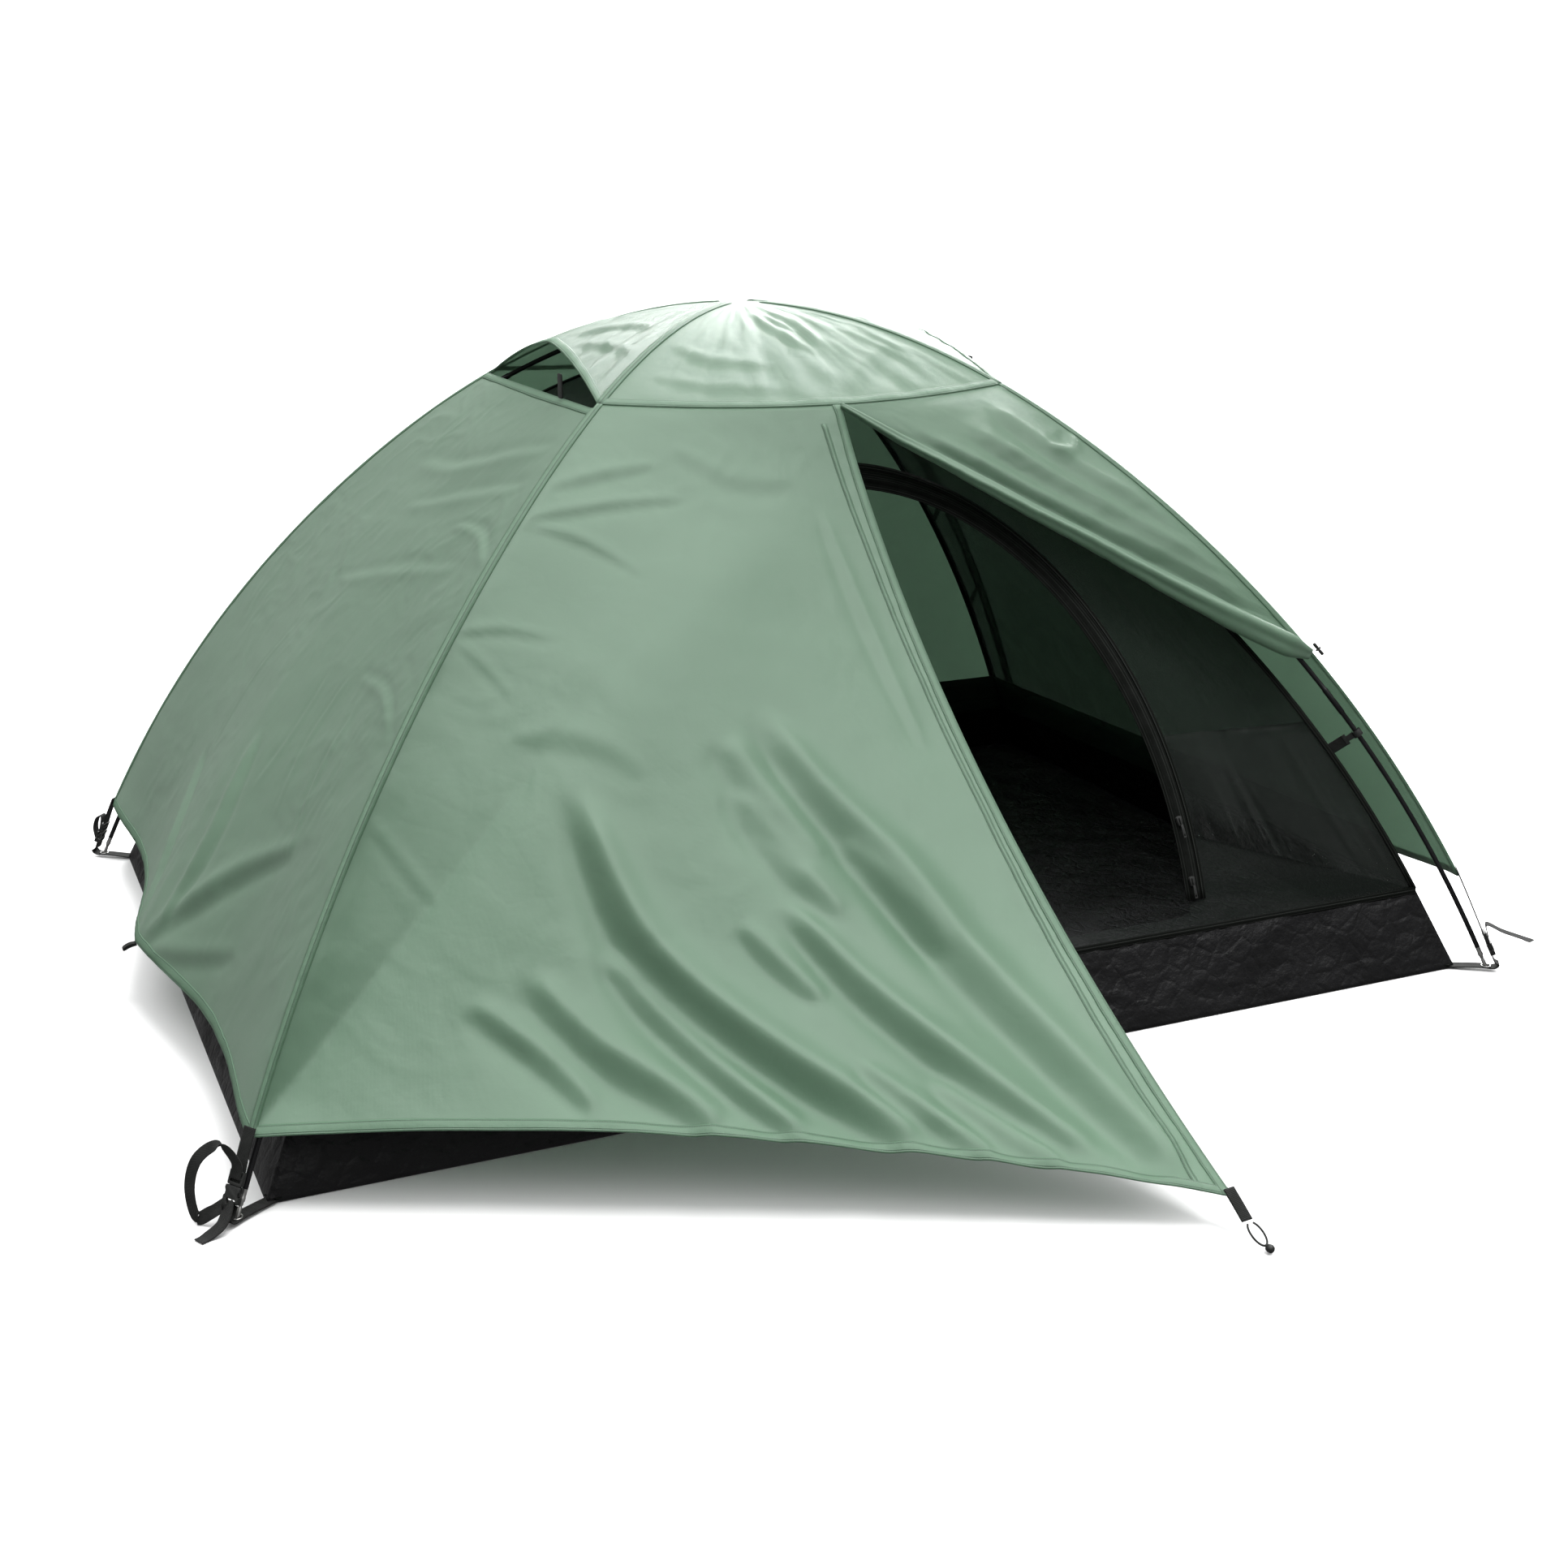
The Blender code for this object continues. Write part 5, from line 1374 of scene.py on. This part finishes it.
def build_pole_tip(leg):
    """A turned metal tip: a shoulder, a groove and a pin that ends at the ground."""
    shoulder = pole_points(leg, POLE_END)
    direction = unit(pole_points(leg, 1.0) - shoulder)
    pin = 0.0032
    length = (shoulder[2] - 0.0015 - pin * math.sqrt(1 - direction[2] ** 2)) / -direction[2]
    profile = [
        (pin * 0.55, -length), (pin * 0.9, -length + 0.0006), (pin, -length + 0.0018),
        (pin, -0.0262), (pin * 0.72, -0.0252), (pin * 0.72, -0.0232), (pin, -0.0222), (pin, -0.0184),
    ]
    profile += [
        (POLE_RADIUS * share, height) for share, height in
        ((0.98, -0.0172), (1.04, -0.0150), (1.04, -0.0120), (0.93, -0.0112), (0.93, -0.0020),
         (1.02, -0.0010), (1.02, 0.0))
    ]
    made = turned("tip_" + leg, profile, frame_at(shoulder, -direction, UP), "tip")
    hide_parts("pole_tip_" + leg)


def build_clips():
    """Hooks that hang the inner tent from the poles, each on a webbing strap."""
    inner = POLE_RADIUS * 1.22 + 0.0009
    outer = inner + 0.0026
    angle = np.radians(-115 + 255 * shares(22))
    rim = np.stack((np.cos(angle), np.sin(angle)), -1)
    hook = [tuple(corner) for corner in np.concatenate((outer * rim, inner * rim[::-1]))]
    neck = [(-0.0045, -outer + 0.0016), (0.0030, -outer + 0.0016), (0.0018, -outer - 0.006),
            (0.0018, -outer - 0.012), (-0.0018, -outer - 0.012), (-0.0018, -outer - 0.006)]
    foot = rectangle(0.0036, -outer - 0.0165, -outer - 0.0105)
    for leg in LEGS:
        for number, run in enumerate(CLIP_RUNS, start=1):
            name = leg + "_" + str(number)
            centre = pole_points(leg, run)
            seam = leg_points(leg, run, 0.004 - INNER_UNDER_POLE)
            away = centre - seam
            along = pole_points(leg, run + 0.001) - pole_points(leg, run - 0.001)
            place = frame_at(centre, away, np.cross(along, away))
            prisms = [(hook, 0.012, 0.0), (neck, 0.010, 0.0), (foot, 0.020, 0.0)]
            made = moulded("clip_" + name + "_hook", prisms, place, 0.0005)
            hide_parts("pole_clip_" + name)
            top = in_frame(place, 0.0, 0.0, -outer - 0.0135)
            line = [top, (top + seam) / 2, seam, seam - unit(away) * 0.004]
            strap("clip_" + name + "_strap", line, unit(along), 0.020)
    crown = inner_leg("fl", 0.0)[2]
    line = [UP * (crown + rise) for rise in (0.004, 0.022, 0.040)]
    made = strap("crown_webbing", line, (1.0, 0.0, 0.0), 0.020, thickness=0.0022)
    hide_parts("crown_tie")


# ---- corners --------------------------------------------------------------------------------
def build_corner(leg):
    side_x, side_y = LEGS[leg]
    tip = pole_points(leg, 1.0) * LEVEL
    outward = unit(np.array((side_x * TIP_X, side_y * TIP_Y, 0.0)))
    across = np.array((-outward[1], outward[0], 0.0))
    floor_corner = np.array((side_x * (HALF_X - 0.010), side_y * (HALF_Y - 0.008), 0.0))
    foot = tip + outward * 0.020
    fly_corner = fly_leg(leg, HEM[leg])
    place = frame_at(foot + 0.006 * UP, fly_corner - foot, across)
    reach = float(np.linalg.norm(fly_corner - foot))
    up = unit(fly_corner - foot)
    level = 0.0065 * UP
    line = [
        floor_corner + level * 0.6, tip - outward * 0.016 + level, tip + outward * 0.010 + level,
        foot + level * 1.5 + up * 0.004, foot + up * 0.020, foot + up * 0.034,
    ]
    made = strap("floor_strap_" + leg, line, across, WEBBING, thickness=0.0016)
    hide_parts("corner_strap_" + leg)
    build_grommet(leg, tip - outward * 0.0025 + level)
    build_buckle(leg, place)
    line = [
        in_frame(place, 0.0, y, z) for y, z in
        ((0.0012, 0.059), (0.0016, 0.072), (0.0, reach * 0.80), (0.0, reach + 0.010))
    ]
    made = strap("fly_strap_" + leg, line, across, WEBBING * 0.95)
    made.parent = None
    made.matrix_world = Matrix.Identity(4)
    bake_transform(made)
    build_tail(leg, place, across, outward)
    line = [floor_corner - outward * 0.030 + 0.0062 * UP, floor_corner + outward * 0.004 + 0.0075 * UP]
    strap("anchor_patch_" + leg, line, across, WEBBING * 1.15, look="binding", count=8)


def build_grommet(leg, centre):
    """An eyelet: a rolled metal ring round the hole that the pole tip stands in."""
    turn = np.linspace(0, 2 * math.pi, 33)
    ring = np.stack((np.cos(turn), np.sin(turn), 0 * turn), -1) * 0.0078 + centre + 0.0009 * UP
    bar("grommet_" + leg, ring, 0.0012, "tip")


def build_buckle(leg, place):
    """A side-release buckle: socket below, and a two-pronged plug with a ladder bar."""
    socket = mirrored([
        (0.0118, 0.0300), (0.0130, 0.0318), (0.0130, 0.0392), (0.0112, 0.0405), (0.0108, 0.0450),
        (0.0120, 0.0475), (0.0130, 0.0490), (0.0130, 0.0530), (0.0120, 0.0540),
    ])
    strap_slot = rectangle(0.0190, 0.0325, 0.0362, 0.0012, 3)
    window = rectangle(0.0070, 0.0415, 0.0490, 0.0020, 3)
    wall = rectangle(0.0025, 0.0300, 0.0400)
    prisms = [
        (socket, 0.0030, -0.0029, strap_slot), (socket, 0.0030, 0.0029, strap_slot, window),
        (rectangle(0.0035, 0.0405, 0.0530), 0.0034, 0.0),
        (shifted(wall, 0.0112), 0.0050, 0.0), (shifted(wall, -0.0112), 0.0050, 0.0),
    ]
    made = moulded("buckle_socket_" + leg, prisms, place, 0.0006)
    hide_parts("buckle_female_" + leg)
    upper = rectangle(0.0185, 0.0680, 0.0715, 0.0010, 2)
    lower = rectangle(0.0185, 0.0590, 0.0630, 0.0010, 2)
    prong = [(0.0062, 0.0560), (0.0092, 0.0560), (0.0094, 0.0500), (0.0118, 0.0470), (0.0124, 0.0440),
             (0.0108, 0.0412), (0.0088, 0.0408), (0.0080, 0.0440), (0.0066, 0.0500)]
    prisms = [
        (rectangle(0.0250, 0.0548, 0.0745, 0.0022), 0.0062, 0.0, upper, lower),
        ([(-x, z) for x, z in reversed(prong)], 0.0026, 0.0), (prong, 0.0026, 0.0),
        (rectangle(0.0240, 0.0640, 0.0660), 0.0072, 0.0),
        (rectangle(0.0240, 0.0728, 0.0748), 0.0072, 0.0),
    ]
    made = moulded("buckle_plug_" + leg, prisms, place, 0.0005, body="buckle_" + leg)
    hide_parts("buckle_male_" + leg)


def build_tail(leg, place, across, outward):
    """The loose end of the webbing beyond the ladder bar."""
    start = in_frame(place, 0.0, -0.004, 0.064)
    rise = in_frame(place, 0.0, -0.010, 0.086)
    if leg == "fl":
        rest = [
            (-1.108, -0.805, 0.112), (-1.137, -0.794, 0.092), (-1.150, -0.790, 0.050),
            (-1.146, -0.802, 0.010), (-1.128, -0.820, 0.022), (-1.108, -0.832, 0.036),
            (-1.118, -0.846, 0.016), (-1.140, -0.850, 0.003), (-1.152, -0.856, 0.002),
        ]
    elif leg == "fr":
        steps = ((0.018, (0.010, -0.004, -0.012)), (0.040, (0.020, -0.010, -0.022)),
                 (0.052, (0.018, -0.020, -0.024)))
        rest = [rise + outward * out + np.array(step) for out, step in steps]
    else:
        steps = ((0.012, 0.004), (0.020, 0.026), (0.017, 0.052))
        rest = [rise + outward * out - UP * drop for out, drop in steps]
    line = [start, rise, *rest]
    made = strap("strap_tail_" + leg, line, across, WEBBING * 0.85, thickness=0.0012)


# ---- door fittings -----------------------------------------------------------------------------
def build_slider(name, node_name, along, facing, body):
    """A zip slider: two plates, a bridge, and a puller with a slot."""
    low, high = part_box(node_name)
    place = frame_at((low + high) / 2, along, facing) @ Matrix.Rotation(math.radians(90), 4, "Z")
    plate = mirrored([(0.0036, -0.0075), (0.0048, -0.001), (0.0050, 0.0070), (0.0018, 0.0085)])
    puller = mirrored([(0.0030, -0.0290), (0.0022, -0.0070)])
    prisms = [
        (plate, 0.0011, -0.0024), (plate, 0.0011, 0.0008),
        (rectangle(0.0024, -0.0055, 0.0055), 0.0052, -0.0030),
        (puller, 0.0012, -0.0052, rectangle(0.0030, -0.0270, -0.0230, 0.0012, 2)),
    ]
    made = moulded(name, prisms, place, 0.0003, body=body)
    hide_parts(node_name)


def build_tip():
    """Webbing tab, shock cord loop and stopper at the vestibule's tip."""
    ahead = unit((VESTIBULE_TIP - door_top()) * LEVEL)
    side = unit(np.cross(ahead, UP))
    start = VESTIBULE_TIP + ahead * 0.005 - 0.003 * UP
    tab_end = start + ahead * 0.024 - 0.018 * UP
    line = [start - ahead * 0.016 + 0.0115 * UP, start, start + (tab_end - start) * 0.6, tab_end]
    made = strap("tip_tab", line, side, WEBBING * 0.8, "left_door", thickness=0.0026, count=14)
    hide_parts("tip_webbing_tab")
    ball = tab_end + ahead * 0.046
    ball[2] = BALL_RADIUS + 0.001
    near = tab_end + ahead * 0.004
    far = ball - ahead * (BALL_RADIUS + 2 * TIP_CORD_RADIUS)
    route = smooth_line([mix(near, far, part) + side * out for part, out in TIP_LOOP], 97)
    cord = bar("tip_cord", route, TIP_CORD_RADIUS, "cord", "left_door", 12)
    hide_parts("tip_shock_cord")
    profile = [
        (BALL_RADIUS * radius, BALL_RADIUS * height) for radius, height in
        ((0.34, -1.0), (0.55, -0.96), (0.86, -0.62), (0.99, -0.12), (0.99, 0.12), (0.86, 0.62),
         (0.55, 0.93), (0.30, 0.98), (0.24, 0.86))
    ]
    place = frame_at(ball, ahead, UP)
    bead = turned("tip_stopper", profile, place, "plastic", "left_door")
    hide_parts("tip_cord_ball")


def build_strut(name, node_name, body):
    """A stiffened webbing prop under a vent's hood."""
    low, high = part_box(node_name)
    middle = (low + high) / 2
    place = Matrix.Translation((middle.x, middle.y, low.z)) @ Matrix.Rotation(math.radians(90), 4, "Z")
    prisms = [(rectangle(0.022, 0.0, high.z - low.z, 0.004), 0.0018, 0.0)]
    made = moulded(name, prisms, place, 0.0004, "webbing", body)
    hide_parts(node_name)


def build_toggle():
    """The bar toggle and cord loop that hold the rolled door half at the pole."""
    knot = fly_leg("fr", TOGGLE_RUN)
    out = unit(knot - leg_points("fr", TOGGLE_RUN))
    along = unit(leg_points("fr", TOGGLE_RUN + 0.001) - leg_points("fr", TOGGLE_RUN - 0.001))
    centre = knot + out * 0.014
    half = ((0.68, 0.0), (0.80, 0.0028), (1.0, 0.0040), (1.0, 0.0112), (0.85, 0.0126), (0.45, 0.0130))
    profile = [(0.0028 * radius, -height) for radius, height in half[:0:-1]]
    profile += [(0.0028 * radius, height) for radius, height in half]
    place = frame_at(centre, along, out)
    made = turned("toggle_bar", profile, place, "plastic", "toggle")
    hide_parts("door_toggle")
    side = np.cross(along, out)
    angle = np.radians(-60 + 300 * shares(40))[:, None]
    loop = centre + out * (0.0042 * np.cos(angle)) + side * (0.0062 * np.sin(angle))
    made = bar("toggle_cord", loop, 0.0011, "cord")
    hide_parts("door_toggle_loop")


def build_pull_out(place, outward):
    """A folded webbing loop sewn under a hem's middle."""
    low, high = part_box("pull_out_" + place)
    outward = np.array(outward, float)
    middle = np.array((low + high) / 2)
    steps = ((-0.012, 0.004), (0.0, 0.003), (0.010, -0.002), (0.010, -0.006), (0.0, -0.002), (-0.012, 0.001))
    line = [middle + outward * out + UP * rise for out, rise in steps]
    made = strap("pull_loop_" + place, line, np.cross(outward, UP), 0.012, thickness=0.001)
    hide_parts("pull_out_" + place)


def build_fly_zip(front_left):
    points, normals, _ = front_left
    keep = slice(int(0.17 * len(points)), int(0.95 * len(points)))
    curves = []
    for inset, under in (
        (0.028, 0.005), (0.0400, 0.005), (0.0415, 0.0066), (0.0445, 0.0066), (0.046, 0.005),
        (0.058, 0.005),
    ):
        curves.append(edge_curve(points, normals, "last", inset, -under)[keep])
    made = ribbon("door_zip", curves, "zip", None, 0.0012)
    blend_door(made)
    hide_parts("fly_zip_tape")


def build_fittings(front_left):
    for leg in LEGS:
        build_corner(leg)
    steps = zip_edge(np.array((0.86, 0.90)))
    along = steps[0] - steps[1]
    build_slider("door_zip_slider", "fly_zip_slider", along, (0.3, -0.6, 0.7), "fly_slider")
    for place, turn in (("low", 0.020), ("high", 0.060)):
        spots = front_wall_points(*doorway_edge(np.array((turn, turn + 0.02))))
        build_slider(
            "doorway_slider_" + place, "inner_zip_slider_" + place, spots[1] - spots[0],
            (0, -1, 0.6), "inner_slider_" + place,
        )
    build_fly_zip(front_left)
    build_tip()
    for side in ("left", "right"):
        build_strut("vent_prop_" + side, "vent_strut_" + side, "strut_" + side)
    build_toggle()
    for place, outward in (("left", (-1, 0, 0)), ("right", (1, 0, 0)), ("back", (0, 1, 0))):
        build_pull_out(place, outward)


# ---- camera, light and ground ------------------------------------------------------
CAMERA_PLACE = (-1.4007, -3.3464, 1.3903)
CAMERA_YAW = 23.956            # degrees, turned from +Y towards +X
CAMERA_DOWN = 17.427
CAMERA_LENS = 46.03
SKY_LOW = 0.25
SKY_HIGH = 2.5


def build_camera():
    data = bpy.data.cameras.new("camera")
    data.sensor_width = 36.0
    data.lens = CAMERA_LENS
    data.clip_end = 60.0
    camera = bpy.data.objects.new("camera", data)
    camera.location = CAMERA_PLACE
    camera.rotation_euler = (math.radians(90 - CAMERA_DOWN), 0.0, math.radians(-CAMERA_YAW))
    bpy.context.scene.collection.objects.link(camera)
    bpy.context.scene.camera = camera


def sun(name, towards, strength, softness):
    """A broad soft light from the direction towards."""
    data = bpy.data.lights.new(name, "SUN")
    data.energy = strength
    data.angle = math.radians(softness)
    lamp = bpy.data.objects.new(name, data)
    lamp.rotation_euler = Vector(towards).to_track_quat("Z", "Y").to_euler()
    bpy.context.scene.collection.objects.link(lamp)


def build_studio():
    """A sky that brightens overhead, two suns and a white floor."""
    world = bpy.data.worlds.new("studio")
    world.use_nodes = True
    tree = world.node_tree
    background = tree.nodes["Background"]
    background.inputs["Color"].default_value = (1.0, 1.0, 1.0, 1.0)
    towards = node(tree, "TexCoord").outputs["Generated"]
    height = node(tree, "SeparateXYZ", {0: towards}).outputs["Z"]
    inputs = {"Value": height, "From Min": 0.30, "From Max": 1.0, "To Min": SKY_LOW, "To Max": SKY_HIGH}
    sky = node(tree, "MapRange", inputs)
    tree.links.new(sky.outputs["Result"], background.inputs["Strength"])
    bpy.context.scene.world = world
    bpy.context.scene.view_settings.view_transform = "Standard"
    sun("key", (0.22, -0.22, 1.0), 1.9, 24.0)
    sun("rear", (0.55, 0.75, 0.40), 4.4, 30.0)
    floor = grid_mesh("studio_floor", floor_points(), closed=True)
    piece = new_object("studio_floor", floor, "studio", None)
    piece.visible_diffuse = False
    piece.visible_glossy = False


def floor_points():
    """A wide flat floor whose far edge rises all round as a backdrop."""
    turn = 2 * math.pi * np.arange(64) / 64
    rings = ((0.01, -0.0005), (8.0, -0.0005), (18.0, -0.0005), (24.0, 1.2), (60.0, 16.0))
    return np.array([[(r * math.cos(t), r * math.sin(t), z) for t in turn] for r, z in rings])


def main():
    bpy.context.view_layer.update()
    build_camera()
    build_studio()
    build_poles()
    front_left = build_fly()
    build_inner()
    build_clips()
    build_fittings(front_left)


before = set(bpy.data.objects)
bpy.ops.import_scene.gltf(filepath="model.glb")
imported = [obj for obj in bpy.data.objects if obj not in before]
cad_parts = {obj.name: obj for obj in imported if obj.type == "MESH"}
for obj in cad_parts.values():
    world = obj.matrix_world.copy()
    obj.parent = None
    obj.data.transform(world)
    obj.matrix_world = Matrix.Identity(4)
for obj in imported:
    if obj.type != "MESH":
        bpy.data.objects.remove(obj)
main()
